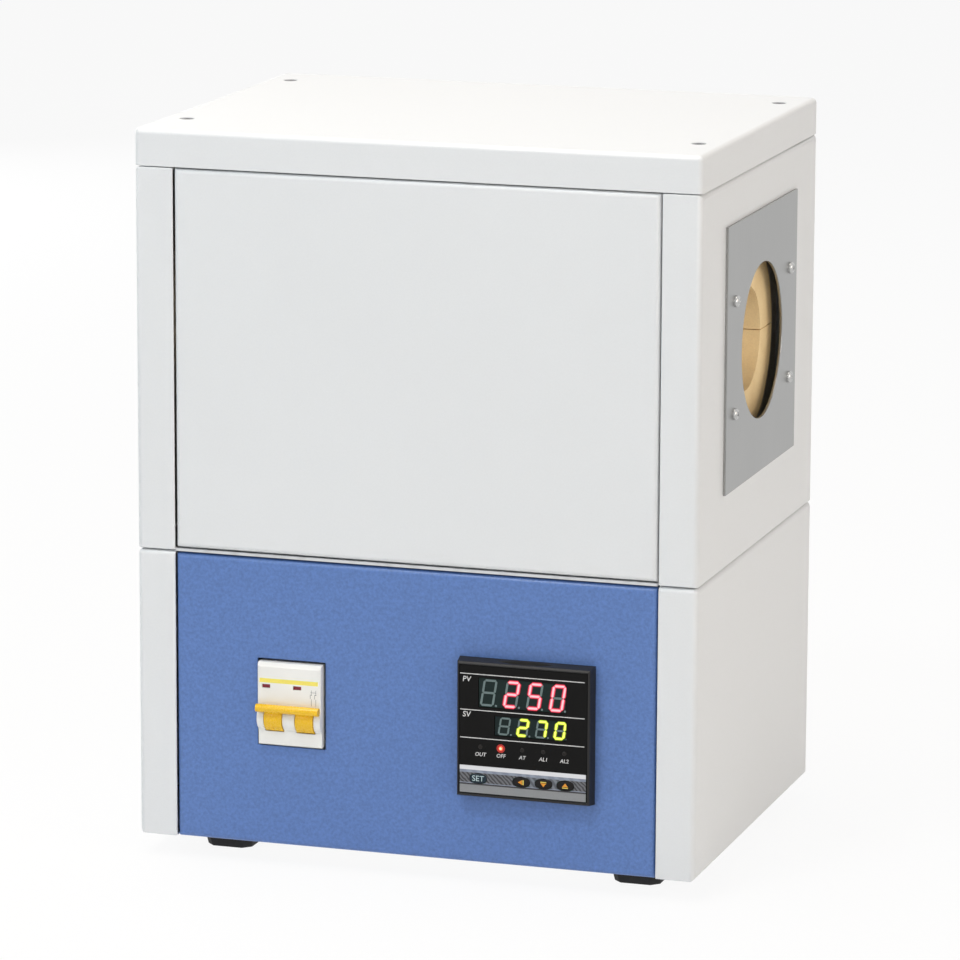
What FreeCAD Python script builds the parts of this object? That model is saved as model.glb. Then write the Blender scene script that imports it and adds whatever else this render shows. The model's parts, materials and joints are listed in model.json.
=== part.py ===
import FreeCAD, Part
import math
import os

V = FreeCAD.Vector
X, Y, Z = V(1, 0, 0), V(0, 1, 0), V(0, 0, 1)

# A bench-top tube furnace, in millimetres. A lower box holds the controls and an upper box holds a
# split ceramic heater whose bore runs from side to side. +Z is up, the control panel faces -Y, the
# floor is Z = 0 and the origin lies on the floor under the middle of the whole outline.

# Sheet-metal case
case_width = 310.0
case_depth = 235.0
lower_height = 157.5
upper_height = 205.0
cover_height = 20.4
sheet = 1.2
bend_radius = 3.0
flange_width = 21.3
panel_return = 12.0
reveal = 0.6
seam_gap = 0.5
deck_thickness = 1.5
base_upstand = 12.0
fit_gap = 0.3
inner_bend_share = 0.6
cut_margin = 1.0

# Feet
foot_height = 12.0
foot_inset = 40.0
foot_top_side = 30.0
foot_floor_side = 25.0
foot_chamfer = 4.0

# Cover rails and screws
rail_width = 18.0
rail_wall = 1.5
rail_end_gap = 14.0
cover_screw_inset = 14.0
cover_screw_front = 42.0
cover_screw_rear = 30.0
screw_head_radius = 4.0
screw_head_height = 2.6
screw_head_sides = 12
cover_head_height = 1.0
head_clearance = 0.25

# Rear covers with pressed louvres
rear_overlap = 13.3
rear_edge_gap = 1.0
rear_screw_rise = 18.0
louvre_length = 84.0
louvre_depth = 6.0
louvre_height = 10.0
louvre_bulge_out = 0.7
louvre_bulge_up = 0.62
louvre_pitch = 24.0
louvre_offset = 56.0
upper_louvres = 4
lower_louvres = 2
upper_louvre_rise = 46.0
lower_louvre_rise = 92.0

# Base ventilation slots
base_slot_count = 7
base_slot_pitch = 12.0
base_slot_width = 5.0
base_slot_length = 70.0

# Heater bore, split ceramic heater and insulation
axis_rise = 110.6
bore_radius = 28.0
ceramic_radius = 52.5
collar_setback = 7.3
collar_length = 25.0
heater_radius = 34.0
heater_end_gap = 12.7
split_gap = 0.5
groove_depth = 3.6
groove_count = 4
element_side = 4.4
link_length = 4.0
link_height = 5.2
link_overlap_angle = 4.5
tail_width = 4.0
tail_thickness = 2.4
tail_reach = 14.0
insulation_end_gap = 16.0
insulation_air_gap = 22.5
insulation_top_gap = 2.0
tail_block_width = 12.0
tail_block_length = 9.0
sheath_radius = 3.0
sheath_tip_gap = 2.5
sheath_head_width = 26.0
sheath_head_height = 16.0
sheath_head_length = 14.0

# Stainless plates around the bore
plate_side = 142.0
plate_thickness = 1.5
plate_hole_radius = 42.0
plate_screw_y = 112.0
plate_screw_z = 60.0
side_hole_radius = 56.0

# Two-pole circuit breaker
breaker_side_gap = 86.9
breaker_rise = 78.3
breaker_width = 35.6
nose_height = 45.0
nose_proud = 4.0
nose_low_step = 1.8
nose_slope_height = 2.3
nose_slope_depth = 1.3
nose_side_chamfer = 0.6
nose_depth = 16.0
breaker_height = 80.0
breaker_depth = 60.0
breaker_cutout_gap = 1.25
pole_pitch = 17.5
lever_width = 9.9
lever_gap = 0.4
drum_radius = 7.5
drum_back = 3.0
cheek_radius = 7.0
pivot_depth = 5.5
pivot_drop = 8.2
pin_radius = 1.5
pin_clearance = 0.05
lever_reach = 10.4
lever_on_angle = 38.0
lever_throw = 70.0
lever_arm_width = 8.0
lever_arm_thickness = 3.4
lever_mark_width = 0.9
lever_mark_length = 2.8
lever_mark_depth = 0.35
lever_mark_angle = 40.0
arm_slot_rise = 6.9
arm_slot_depth = 1.2
tie_bar_radius = 2.2
tie_bar_width = 35.1
window_width = 4.75
window_height = 2.2
window_rise = 9.7
window_shift = 4.25
window_wall = 1.2
flag_thickness = 1.0
flag_half_height = 2.6
flag_arm = 1.98
flag_gap = 0.3
terminal_window_width = 7.0
terminal_window_depth = 8.0
terminal_window_rise = 31.0

# Mounting rail behind the breaker
din_height = 35.0
din_depth = 7.5
din_inner_height = 27.0
din_wall = 1.0
din_length = 92.0
din_seat_depth = 2.0
bracket_width = 60.0
bracket_wall = 1.5
bracket_foot = 32.0

# Temperature controller
controller_side_gap = 91.85
controller_rise = 74.7
bezel_front = 72.4
bezel_back = 74.6
bezel_depth = 8.1
bezel_chamfer = 0.8
bezel_recess_width = 30.0
bezel_recess_length = 5.6
bezel_recess_middle = 3.8
bezel_recess_depth = 2.0
face_width = 70.0
face_height = 69.0
face_thickness = 1.0
face_recess = 0.2
bezel_opening = 64.0
case_square = 67.0
case_length = 75.0
case_wall = 2.0
case_cutout_gap = 0.5
board_thickness = 1.5
display_gap = 0.3
pv_left, pv_right, pv_low, pv_high = -24.5, 23.6, 12.4, 28.3
sv_left, sv_right, sv_low, sv_high = -15.6, 23.7, -2.4, 8.3
lamp_places = (-23.3, -12.05, -0.3, 11.2, 22.7)
lamp_rise = -9.1
lamp_side = 2.3
lamp_corner = 0.67
key_names = ("set", "shift", "down", "up")
key_places = (-24.4, -0.7, 11.5, 23.4)
key_rise = -26.4
key_width = 9.1
key_height = 5.0
key_corner = 1.6
key_proud = 0.4
key_travel = 0.5
key_gap = 0.3
key_flange = 0.9
key_flange_thickness = 1.0
key_stem_length = 2.0
key_stem_side = 2.0
switch_side = 6.0
clamp_width = 20.0
clamp_height = 7.0
clamp_length = 46.0

# Relay, heat sink, terminal strip and mains inlet in the lower box
sink_side_gap = 47.0
sink_width = 72.0
sink_length = 82.0
sink_height = 26.0
sink_plate = 4.5
sink_fins = 9
sink_fin_thickness = 1.8
sink_rear_gap = 24.0
relay_width = 45.0
relay_length = 58.0
relay_height = 23.0
relay_chamfer = 1.5
relay_well_side = 9.0
relay_well_depth = 7.5
strip_side_gap = 63.0
strip_length = 84.0
strip_depth = 22.0
strip_height = 10.0
strip_barrier_height = 8.0
strip_barrier_thickness = 2.0
strip_ways = 7
strip_rear_gap = 60.0
inlet_side_gap = 60.0
inlet_rise = 34.0
inlet_flange_width = 50.0
inlet_flange_height = 24.0
inlet_flange_thickness = 2.5
inlet_flange_corner = 2.5
inlet_body_width = 28.0
inlet_body_height = 20.4
inlet_body_depth = 24.0
inlet_wall = 1.8
inlet_socket_depth = 17.0
inlet_key_chamfer = 4.5
inlet_screw_inset = 5.0
inlet_head_radius = 2.8
inlet_head_height = 1.6
inlet_pin_width = 2.0
inlet_pin_height = 4.0
inlet_pin_length = 15.0
inlet_pin_pitch = 7.0
inlet_pin_drop = 2.2
inlet_earth_rise = 1.8

# Planes that the sizes above set
front_reach = (nose_proud - pivot_depth + tie_bar_radius
               + lever_reach * math.cos(math.radians(lever_on_angle)))
rear_reach = sheet + louvre_depth
y_front = front_reach - (case_depth + front_reach + rear_reach) / 2
y_rear = y_front + case_depth
y_mid = (y_front + y_rear) / 2
x_side = case_width / 2
x_panel = x_side - flange_width - reveal
z_base = foot_height
z_inside = z_base + 2 * sheet
z_seam = z_base + lower_height
z_upper = z_seam + upper_height
z_top = z_upper + cover_height
z_axis = z_seam + axis_rise
z_deck = z_seam - seam_gap
z_insulation = z_deck + deck_thickness
collar_face = x_side - collar_setback
collar_start = collar_face - collar_length
heater_half_length = collar_start - heater_end_gap
element_end = (heater_half_length + collar_start) / 2
insulation_depth = case_depth - 2 * insulation_air_gap
breaker_x = breaker_side_gap - x_side
controller_x = x_side - controller_side_gap
sink_x = x_side - sink_side_gap - sink_width / 2
strip_x = strip_side_gap + strip_length / 2 - x_side
inlet_x = inlet_side_gap - x_side
y_nose = y_front - nose_proud
y_pivot = y_nose + pivot_depth
z_breaker = z_base + breaker_rise
z_pivot = z_breaker - pivot_drop
flag_travel = flag_arm * math.radians(lever_throw)
y_din = y_nose + breaker_depth - din_seat_depth
y_face = y_front - bezel_depth + face_recess
y_behind_face = y_face + face_thickness
y_key_stem = y_behind_face + key_gap + key_flange_thickness
y_board = y_front - board_thickness
z_controller = z_base + controller_rise
rod_radius = heater_radius + groove_depth - fit_gap - element_side / 2
groove_angles = [180.0 * (i + 1) / (groove_count + 1) for i in range(groove_count)]
x_cover_screw = x_side - cover_screw_inset
y_cover_screws = (y_front + cover_screw_front, y_rear - cover_screw_rear)


# Shape helpers

def box(x0, x1, y0, y1, z0, z1):
    return Part.makeBox(x1 - x0, y1 - y0, z1 - z0, V(x0, y0, z0))


def rod(radius, start, end):
    return Part.makeCylinder(radius, (end - start).Length, start, end - start)


def mirrored(shape):
    return shape.mirror(V(0, 0, 0), X)


def both_sides(shape):
    return [shape, mirrored(shape)]


def turned(shape, point, axis, angle):
    copy = shape.copy()
    copy.rotate(point, axis, angle)
    return copy


def outline(points, direction, length):
    # A prism over a closed outline of points
    return flat_face(points).extrude(direction * length)


def flat_face(points):
    return Part.Face(Part.makePolygon(points + [points[0]]))


def tapered(low, high):
    # A flat-sided block between two outlines that have as many points each
    sides = [flat_face([low[i - 1], low[i], high[i], high[i - 1]]) for i in range(len(low))]
    return Part.Solid(Part.makeShell([flat_face(low), flat_face(high)] + sides))


def spun(points, point, axis, angle):
    # A closed outline turned about an axis
    return flat_face(points).revolve(point, axis, angle)


def octagon(centre, along, across, length, width, corner):
    # The corner points of a rectangle with its corners cut off
    a, b = length / 2, width / 2
    places = [(a, b - corner), (a - corner, b), (corner - a, b), (-a, b - corner),
              (-a, corner - b), (corner - a, -b), (a - corner, -b), (a, corner - b)]
    return [centre + along * i + across * j for i, j in places]


def on_side(edge, side, low, high):
    axis = "xyz".index(side[1])
    place = high[axis] if side[0] == "+" else low[axis]
    return all(abs(v.Point[axis] - place) < 1e-6 for v in edge.Vertexes)


def box_edges(shape, low, high, open_sides, corners):
    # The edges round a box's closed face and its corners, or only the corners on one named side
    closed = {"+": "-", "-": "+"}[open_sides[0][0]] + open_sides[0][1]
    return [e for e in shape.Edges
            if not any(on_side(e, side, low, high) for side in open_sides)
            and (corners is True or on_side(e, closed, low, high)
                 or corners and on_side(e, corners, low, high))]


def corner_box(low, high):
    return box(low[0], high[0], low[1], high[1], low[2], high[2])


def folded(low, high, open_sides, corners=True, wall=sheet, radius=bend_radius):
    # Sheet metal folded into a shallow box that is open on the named sides
    inner_low, inner_high = list(low), list(high)
    for axis, name in enumerate("xyz"):
        inner_low[axis] += -wall if "-" + name in open_sides else wall
        inner_high[axis] += wall if "+" + name in open_sides else -wall
    outer, inner = corner_box(low, high), corner_box(inner_low, inner_high)
    outer = outer.makeFillet(radius, box_edges(outer, low, high, open_sides, corners))
    slope = inner_bend_share * (radius - wall)
    if slope > 0.05:
        inner = inner.makeChamfer(
            slope, box_edges(inner, inner_low, inner_high, open_sides, corners))
    return outer.cut(inner)


def screw_head(point, direction, radius=screw_head_radius, height=screw_head_height):
    # A plain head with enough sides to look round
    along = Z if abs(direction.z) < 0.5 else Y
    across = direction.cross(along)
    points = []
    for i in range(screw_head_sides):
        angle = 2 * math.pi * i / screw_head_sides
        points.append(point + along * (radius * math.cos(angle)) + across * (radius * math.sin(angle)))
    return outline(points, direction, height)


def joined(shapes):
    return shapes[0].multiFuse(shapes[1:]).removeSplitter()


def cut_all(shape, tools):
    return shape.cut(Part.makeCompound(tools))


# Lower box

def foot_points(z):
    return [V(sx * (x_side - foot_inset), y, z)
            for y in (y_front + foot_inset, y_rear - foot_inset) for sx in (-1, 1)]


def base_plate():
    low = [-(x_side - sheet - fit_gap), y_front + panel_return + fit_gap, z_base + sheet]
    high = [-low[0], y_rear - bend_radius - fit_gap, z_base + sheet + base_upstand]
    plate = folded(low, high, ["+z"], corners=False)
    slots = []
    half_w, half_l = base_slot_width / 2, base_slot_length / 2
    for i in range(base_slot_count):
        x = (i - (base_slot_count - 1) / 2) * base_slot_pitch
        slots.append(box(x - half_w, x + half_w, y_mid - half_l, y_mid + half_l,
                         z_base, z_inside + sheet))
    return cut_all(plate, slots)


def foot(point):
    # A moulded rubber foot, square with cut corners, that narrows towards the floor
    top = point + Z * (z_base + sheet)
    return tapered(octagon(point, X, Y, foot_floor_side, foot_floor_side, foot_chamfer),
                   octagon(top, X, Y, foot_top_side, foot_top_side, foot_chamfer))


def side_box(z0, z1, open_sides, corners):
    low = [x_side - flange_width, y_front, z0]
    return folded(low, [x_side, y_rear, z1], open_sides, corners)


def rear_screw_points(z_low, z_high):
    x = x_panel + reveal + flange_width / 3
    return [V(sx * x, y_rear, z) for z in (z_low + rear_screw_rise, z_high - rear_screw_rise)
            for sx in (-1, 1)]


def lower_side():
    return side_box(z_base, z_deck, ["-x"], "+z")


def control_panel():
    low = [-x_panel, y_front, z_base]
    high = [x_panel, y_front + panel_return, z_deck - 2 * seam_gap]
    shape = folded(low, high, ["+y"], corners=False)
    half_w = breaker_width / 2 + breaker_cutout_gap
    half_h = nose_height / 2 + breaker_cutout_gap
    half_c = case_square / 2 + case_cutout_gap
    y0, y1 = y_front - sheet, y_front + 2 * sheet
    return cut_all(shape, [
        box(breaker_x - half_w, breaker_x + half_w, y0, y1, z_breaker - half_h, z_breaker + half_h),
        box(controller_x - half_c, controller_x + half_c, y0, y1,
            z_controller - half_c, z_controller + half_c)])


def louvre(x, z, spare):
    # A pressed louvre, open below: its outside, or its inside where spare is the sheet's thickness
    half = louvre_length / 2 - spare
    depth, height = louvre_depth - spare, louvre_height - spare
    y = y_rear + sheet
    curve = Part.Arc(V(x - half, y, z + height),
                     V(x - half, y + louvre_bulge_out * depth, z + louvre_bulge_up * height),
                     V(x - half, y + depth, z))
    corner = V(x - half, y, z)
    side = Part.Face(Part.Wire([
        curve.toShape(), Part.makeLine(V(x - half, y + depth, z), corner),
        Part.makeLine(corner, V(x - half, y, z + height))]))
    hood = side.extrude(X * 2 * half)
    plan = [V(x - half, y, z), V(x + half, y, z),
            V(x + half - depth, y + depth, z), V(x - half + depth, y + depth, z)]
    return hood.common(outline(plan, Z, height))


def louvre_opening(x, z):
    half = louvre_length / 2 - sheet
    slot = box(x - half, x + half, y_rear - sheet, y_rear + sheet, z, z + louvre_height - sheet)
    return joined([louvre(x, z, sheet), slot])


def rear_cover(z0, z1, first, count):
    half = x_panel + rear_overlap
    shape = box(-half, half, y_rear, y_rear + sheet, z0 + rear_edge_gap, z1 - rear_edge_gap)
    places = [(side * louvre_offset, first + row * louvre_pitch)
              for row in range(count) for side in (-1, 1)]
    shape = joined([shape] + [louvre(x, z, 0) for x, z in places])
    return cut_all(shape, [louvre_opening(x, z) for x, z in places])


def lower_rear_cover():
    shape = rear_cover(z_base, z_deck, z_base + lower_louvre_rise, lower_louvres)
    half_w, half_h = inlet_body_width / 2 + fit_gap, inlet_body_height / 2 + fit_gap
    z = z_base + inlet_rise
    return shape.cut(box(inlet_x - half_w, inlet_x + half_w, y_rear - sheet,
                         y_rear + 2 * sheet, z - half_h, z + half_h))


def upper_rear_cover():
    return rear_cover(z_seam, z_upper, z_seam + upper_louvre_rise, upper_louvres)


def rear_cover_screws():
    points = rear_screw_points(z_base, z_deck) + rear_screw_points(z_seam, z_upper)
    return Part.makeCompound([screw_head(p + Y * sheet, Y) for p in points])


# Upper box

def mid_deck():
    # The deck stands on the lower side flanges and its front edge shows between the two boxes
    half = x_side - sheet - fit_gap
    top = z_deck + deck_thickness
    return joined([box(-half, half, y_front + bend_radius, y_rear - bend_radius, z_deck, top),
                   box(-x_panel, x_panel, y_front + fit_gap, y_rear - fit_gap, z_deck, top)])


def plate_screw_points():
    return [V(x_side, y_mid + sy * plate_screw_y / 2, z_axis + sz * plate_screw_z / 2)
            for sy in (-1, 1) for sz in (-1, 1)]


def upper_side():
    shape = side_box(z_seam, z_upper, ["-x", "-z"], False)
    centre = V(x_side, y_mid, z_axis)
    return shape.cut(rod(side_hole_radius, centre - X * 2 * sheet, centre + X))


def upper_front_panel():
    low = [-x_panel, y_front, z_deck + deck_thickness + seam_gap]
    high = [x_panel, y_front + panel_return, z_upper]
    return folded(low, high, ["+y"], corners=False)


def bore_plate():
    half = plate_side / 2
    centre = V(x_side, y_mid, z_axis)
    shape = box(x_side, x_side + plate_thickness, y_mid - half, y_mid + half,
                z_axis - half, z_axis + half)
    return shape.cut(rod(plate_hole_radius, centre - X, centre + X * 2 * plate_thickness))


def bore_plate_screws():
    right = [screw_head(p + X * plate_thickness, X) for p in plate_screw_points()]
    return Part.makeCompound(right + [mirrored(s) for s in right])


def cover_rail():
    # A channel between the side panel's top flange and the cover, open towards the middle
    x0, x1 = x_cover_screw - rail_width / 2, x_cover_screw + rail_width / 2
    z0, z1, wall = z_upper, z_top - sheet, rail_wall
    profile = [(x0, z0), (x1, z0), (x1, z1), (x0, z1), (x0, z1 - wall), (x1 - wall, z1 - wall),
               (x1 - wall, z0 + wall), (x0, z0 + wall)]
    points = [V(x, y_front + rail_end_gap, z) for x, z in profile]
    return outline(points, Y, case_depth - 2 * rail_end_gap)


def cover_screw_points():
    return [V(sx * x_cover_screw, y, z_top - sheet) for y in y_cover_screws for sx in (-1, 1)]


def top_cover():
    low = [-x_side, y_front, z_upper + reveal]
    shape = folded(low, [x_side, y_rear, z_top], ["-z"])
    return cut_all(shape, [rod(screw_head_radius, p - Z, p + Z * 2 * sheet)
                           for p in cover_screw_points()])


def cover_screws():
    # Flat heads sunk in the cover's holes, on the rails below
    return Part.makeCompound([screw_head(p, Z, screw_head_radius - head_clearance,
                                         cover_head_height) for p in cover_screw_points()])


# Heater

def half_ring(x0, x1, inner, outer, side):
    # Half of a ring round the bore axis, above or below the split
    profile = [V(x0, y_mid + inner, z_axis), V(x1, y_mid + inner, z_axis),
               V(x1, y_mid + outer, z_axis), V(x0, y_mid + outer, z_axis)]
    ring = spun(profile, V(0, y_mid, z_axis), X, 180 * side)
    reach = outer + cut_margin
    return ring.cut(box(x0 - cut_margin, x1 + cut_margin, y_mid - reach, y_mid + reach,
                        z_axis - split_gap / 2, z_axis + split_gap / 2))


def collar(side):
    return half_ring(collar_start, collar_face, bore_radius, ceramic_radius, side)


def on_circle(x, angle, side):
    # A point of the circle on which the element's rods lie
    return V(x, y_mid + rod_radius * math.cos(math.radians(angle)),
             z_axis + side * rod_radius * math.sin(math.radians(angle)))


def sheath_channel():
    # A square channel for the sheath, half of it above the split and half below
    half = sheath_radius + fit_gap
    return box(-half, half, y_mid + heater_radius / 2, y_rear, z_axis - half, z_axis + half)


def element_bar(angle, side, spare):
    # A straight bar square to the heater's radius, or the groove for one where spare is added
    y, z, half = y_mid + rod_radius, z_axis, element_side / 2 + spare
    bar = box(-element_end, element_end, y - half, y + half, z - half, z + half)
    return turned(bar, V(0, y_mid, z_axis), X, side * angle)


def heater_shell(side):
    half = heater_half_length
    shape = half_ring(-half, half, heater_radius, ceramic_radius, side)
    grooves = [element_bar(angle, side, fit_gap) for angle in groove_angles]
    return cut_all(shape, grooves + [sheath_channel()])


def link(angle, x, side):
    # A curved strap that joins the ends of two neighbouring rods
    low, high = rod_radius - link_height / 2, rod_radius + link_height / 2
    x1 = x + math.copysign(link_length, x)
    profile = [V(x, y_mid + low, z_axis), V(x1, y_mid + low, z_axis),
               V(x1, y_mid + high, z_axis), V(x, y_mid + high, z_axis)]
    step = groove_angles[1] - groove_angles[0]
    strap = spun(profile, V(0, y_mid, z_axis), X, side * (step + 2 * link_overlap_angle))
    strap.rotate(V(0, y_mid, z_axis), X, side * (angle - link_overlap_angle))
    return strap


def tail_box(side, way, spare, y_start, y_end):
    # The way out of one end of an element, to the rear or to the front
    start = on_circle(-element_end, groove_angles[0], side)
    half_w, half_t = tail_width / 2 + spare, tail_thickness / 2 + spare
    y0, y1 = sorted((y_mid + way * y_start, y_mid + way * y_end))
    return box(start.x - half_w, start.x + half_w, y0, y1, start.z - half_t, start.z + half_t)


def heating_element(side):
    # Straight bars in the grooves, joined into one serpentine by straps at alternate ends
    parts = []
    for i, angle in enumerate(groove_angles):
        parts.append(element_bar(angle, side, 0))
        if i + 1 < groove_count:
            parts.append(link(angle, element_end if i % 2 == 0 else -element_end, side))
    first = rod_radius * math.cos(math.radians(groove_angles[0]))
    reach = insulation_depth / 2 + tail_reach
    parts += [tail_box(side, way, 0, first, reach) for way in (-1, 1)]
    return joined(parts)


def insulation(side):
    half_x, half_y = x_side - insulation_end_gap, insulation_depth / 2
    low, high = z_insulation, z_upper - sheet - insulation_top_gap
    z0, z1 = (z_axis, high) if side > 0 else (low, z_axis)
    block = box(-half_x, half_x, y_mid - half_y, y_mid + half_y, z0, z1)
    cavity = rod(ceramic_radius + fit_gap, V(-x_side, y_mid, z_axis), V(x_side, y_mid, z_axis))
    tails = [tail_box(side, way, fit_gap, bore_radius, y_rear - y_mid) for way in (-1, 1)]
    return cut_all(block, [cavity, sheath_channel()] + tails)


def tail_blocks():
    # Ceramic blocks round the four element ends, against the outside of the insulation
    blocks = []
    face = insulation_depth / 2
    spare_w = (tail_block_width - tail_width) / 2
    for side in (-1, 1):
        for way in (-1, 1):
            hole = tail_box(side, way, 0, face, face + tail_block_length)
            outer = tail_box(side, way, spare_w, face, face + tail_block_length)
            blocks.append(outer.cut(hole))
    return Part.makeCompound(blocks)


def thermocouple():
    # A ceramic sheath that enters from the rear along the split, with its terminal head outside
    tip = V(0, y_mid + bore_radius + sheath_tip_gap, z_axis)
    seat = y_mid + insulation_depth / 2
    half_w, half_h = sheath_head_width / 2, sheath_head_height / 2
    head = box(-half_w, half_w, seat, seat + sheath_head_length, z_axis - half_h, z_axis + half_h)
    return joined([rod(sheath_radius, tip, V(0, seat + cut_margin, z_axis)), head])


# Circuit breaker

def pole_x(pole):
    return breaker_x + pole * pole_pitch / 2


def pole_rod(pole, radius, width):
    x = pole_x(pole)
    return rod(radius, V(x - width / 2, y_pivot, z_pivot), V(x + width / 2, y_pivot, z_pivot))


def window_box(pole, spare, y0, y1, z0, z1):
    x = pole_x(pole) - window_shift
    half = window_width / 2 + spare
    return box(x - half, x + half, y0, y1, z0, z1)


def breaker_housing():
    # The nose stands prouder above the levers than below them, and its top edge slopes back
    y_step, y_back = y_nose + nose_depth, y_nose + breaker_depth
    y_low = y_nose + nose_low_step
    nose, body = nose_height / 2, breaker_height / 2
    seat = din_height / 2 + fit_gap
    profile = [(y_low, -nose), (y_step, -nose), (y_step, -body), (y_back, -body),
               (y_back, -seat), (y_din, -seat), (y_din, seat), (y_back, seat),
               (y_back, body), (y_step, body), (y_step, nose), (y_nose + nose_slope_depth, nose),
               (y_nose, nose - nose_slope_height), (y_nose, -pivot_drop), (y_low, -pivot_drop)]
    x0, x1 = breaker_x - breaker_width / 2, breaker_x + breaker_width / 2
    shape = outline([V(x0, y, z_breaker + z) for y, z in profile], X, breaker_width)
    sides = [e for e in shape.Edges if all(abs(v.Y - y_nose) < 1e-6 for v in e.Vertexes)
             and abs(e.Vertexes[0].X - e.Vertexes[-1].X) < 1e-6]
    shape = shape.makeChamfer(nose_side_chamfer, sides)
    cheek = rod(cheek_radius, V(x0, y_pivot, z_pivot), V(x1, y_pivot, z_pivot))
    shape = joined([shape, cheek])
    tools, pins = [], []
    cavity_y = y_nose + window_wall
    flag_z = z_breaker + window_rise
    slot = lever_arm_width / 2 + fit_gap
    for pole in (-1, 1):
        tools.append(pole_rod(pole, drum_radius + lever_gap, lever_width + 2 * lever_gap))
        tools.append(box(pole_x(pole) - slot, pole_x(pole) + slot, y_nose - cut_margin,
                         y_nose + arm_slot_depth, z_pivot, z_pivot + arm_slot_rise))
        pins.append(pole_rod(pole, pin_radius, lever_width + 4 * lever_gap))
        tools.append(window_box(pole, 0, y_nose - cut_margin, cavity_y + flag_gap,
                                flag_z - window_height / 2, flag_z + window_height / 2))
        tools.append(window_box(pole, 2 * flag_gap, cavity_y,
                                cavity_y + flag_thickness + 2 * flag_gap,
                                flag_z - flag_half_height / 2 - flag_travel - flag_gap,
                                flag_z + flag_half_height * 1.5 + flag_gap))
        half = terminal_window_width / 2
        for side in (-1, 1):
            x, z = pole_x(pole), z_breaker + side * terminal_window_rise
            tools.append(box(x - half, x + half, y_step - cut_margin,
                             y_step + terminal_window_depth, z - half, z + half))
    return joined([cut_all(shape, tools)] + pins)


def breaker_flag(pole):
    # The lower half of the slide shows in the window at rest and the upper half when it is off
    y0 = y_nose + window_wall + flag_gap
    z0 = z_breaker + window_rise - flag_half_height / 2
    return window_box(pole, flag_gap, y0, y0 + flag_thickness, z0, z0 + 2 * flag_half_height)


def tie_bar():
    reach = math.radians(lever_on_angle)
    y = y_pivot - lever_reach * math.cos(reach)
    z = z_pivot + lever_reach * math.sin(reach)
    half = tie_bar_width / 2
    return rod(tie_bar_radius, V(breaker_x - half, y, z), V(breaker_x + half, y, z))


def breaker_lever(pole):
    x, half_w, half_t = pole_x(pole), lever_arm_width / 2, lever_arm_thickness / 2
    arm = box(x - half_w, x + half_w, y_pivot - lever_reach, y_pivot - drum_radius / 2,
              z_pivot - half_t, z_pivot + half_t)
    arm = turned(arm, V(x, y_pivot, z_pivot), X, -lever_on_angle)
    drum = pole_rod(pole, drum_radius, lever_width)
    drum = drum.cut(box(x - lever_width, x + lever_width, y_pivot + drum_back, y_pivot + drum_radius,
                        z_pivot - drum_radius, z_pivot + drum_radius))
    shape = joined([drum, arm.cut(tie_bar())])
    mark = box(x - lever_mark_width / 2, x + lever_mark_width / 2, y_pivot - drum_radius - cut_margin,
               y_pivot - drum_radius + lever_mark_depth, z_pivot - lever_mark_length / 2,
               z_pivot + lever_mark_length / 2)
    mark = turned(mark, V(x, y_pivot, z_pivot), X, lever_mark_angle)
    return cut_all(shape, [pole_rod(pole, pin_radius + pin_clearance, 2 * lever_width), mark])


def din_rail():
    lip, inner, wall = din_height / 2, din_inner_height / 2, din_wall
    upper = [(0, lip), (wall, lip), (wall, inner), (din_depth, inner)]
    lower = [(din_depth, -inner), (wall, -inner), (wall, -lip), (0, -lip)]
    inside = [(0, -inner + wall), (din_depth - wall, -inner + wall),
              (din_depth - wall, inner - wall), (0, inner - wall)]
    points = [V(breaker_x - din_length / 2, y_din + y, z_breaker + z)
              for y, z in upper + lower + inside]
    return outline(points, X, din_length)


def rail_bracket():
    y0 = y_din + din_depth
    top = z_breaker + din_inner_height / 2
    profile = [(y0, z_inside), (y0, top), (y0 + bracket_wall, top),
               (y0 + bracket_wall, z_inside + bracket_wall),
               (y0 + bracket_foot, z_inside + bracket_wall), (y0 + bracket_foot, z_inside)]
    points = [V(breaker_x - bracket_width / 2, y, z) for y, z in profile]
    return outline(points, X, bracket_width)


# Temperature controller

def square_wire(size, y):
    half = size / 2
    corners = [(-half, -half), (half, -half), (half, half), (-half, half), (-half, -half)]
    return Part.makePolygon([V(controller_x + a, y, z_controller + b) for a, b in corners])


def face_box(left, right, low, high, y0, y1):
    # A box placed from the middle of the controller's face
    return box(controller_x + left, controller_x + right, y0, y1,
               z_controller + low, z_controller + high)


def centred_box(width, height, y0, y1):
    return face_box(-width / 2, width / 2, -height / 2, height / 2, y0, y1)


def key_block(x, spare, y0, y1):
    # A block with cut corners behind, in or round a key cap
    centre = V(controller_x + x, y0, z_controller + key_rise)
    points = octagon(centre, X, Z, key_width + 2 * spare, key_height + 2 * spare, key_corner)
    return outline(points, Y, y1 - y0)


def bezel_recess():
    # A lens-shaped recess in the middle of the bezel's top face
    half_x, half_y = bezel_recess_width / 2, bezel_recess_length / 2
    y = y_front - bezel_recess_middle
    z = z_controller + bezel_back / 2 - bezel_recess_depth
    left, right = V(controller_x - half_x, y, z), V(controller_x + half_x, y, z)
    near = Part.Arc(left, V(controller_x, y - half_y, z), right).toShape()
    far = Part.Arc(right, V(controller_x, y + half_y, z), left).toShape()
    return Part.Face(Part.Wire([near, far])).extrude(Z * (bezel_recess_depth + cut_margin))


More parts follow.
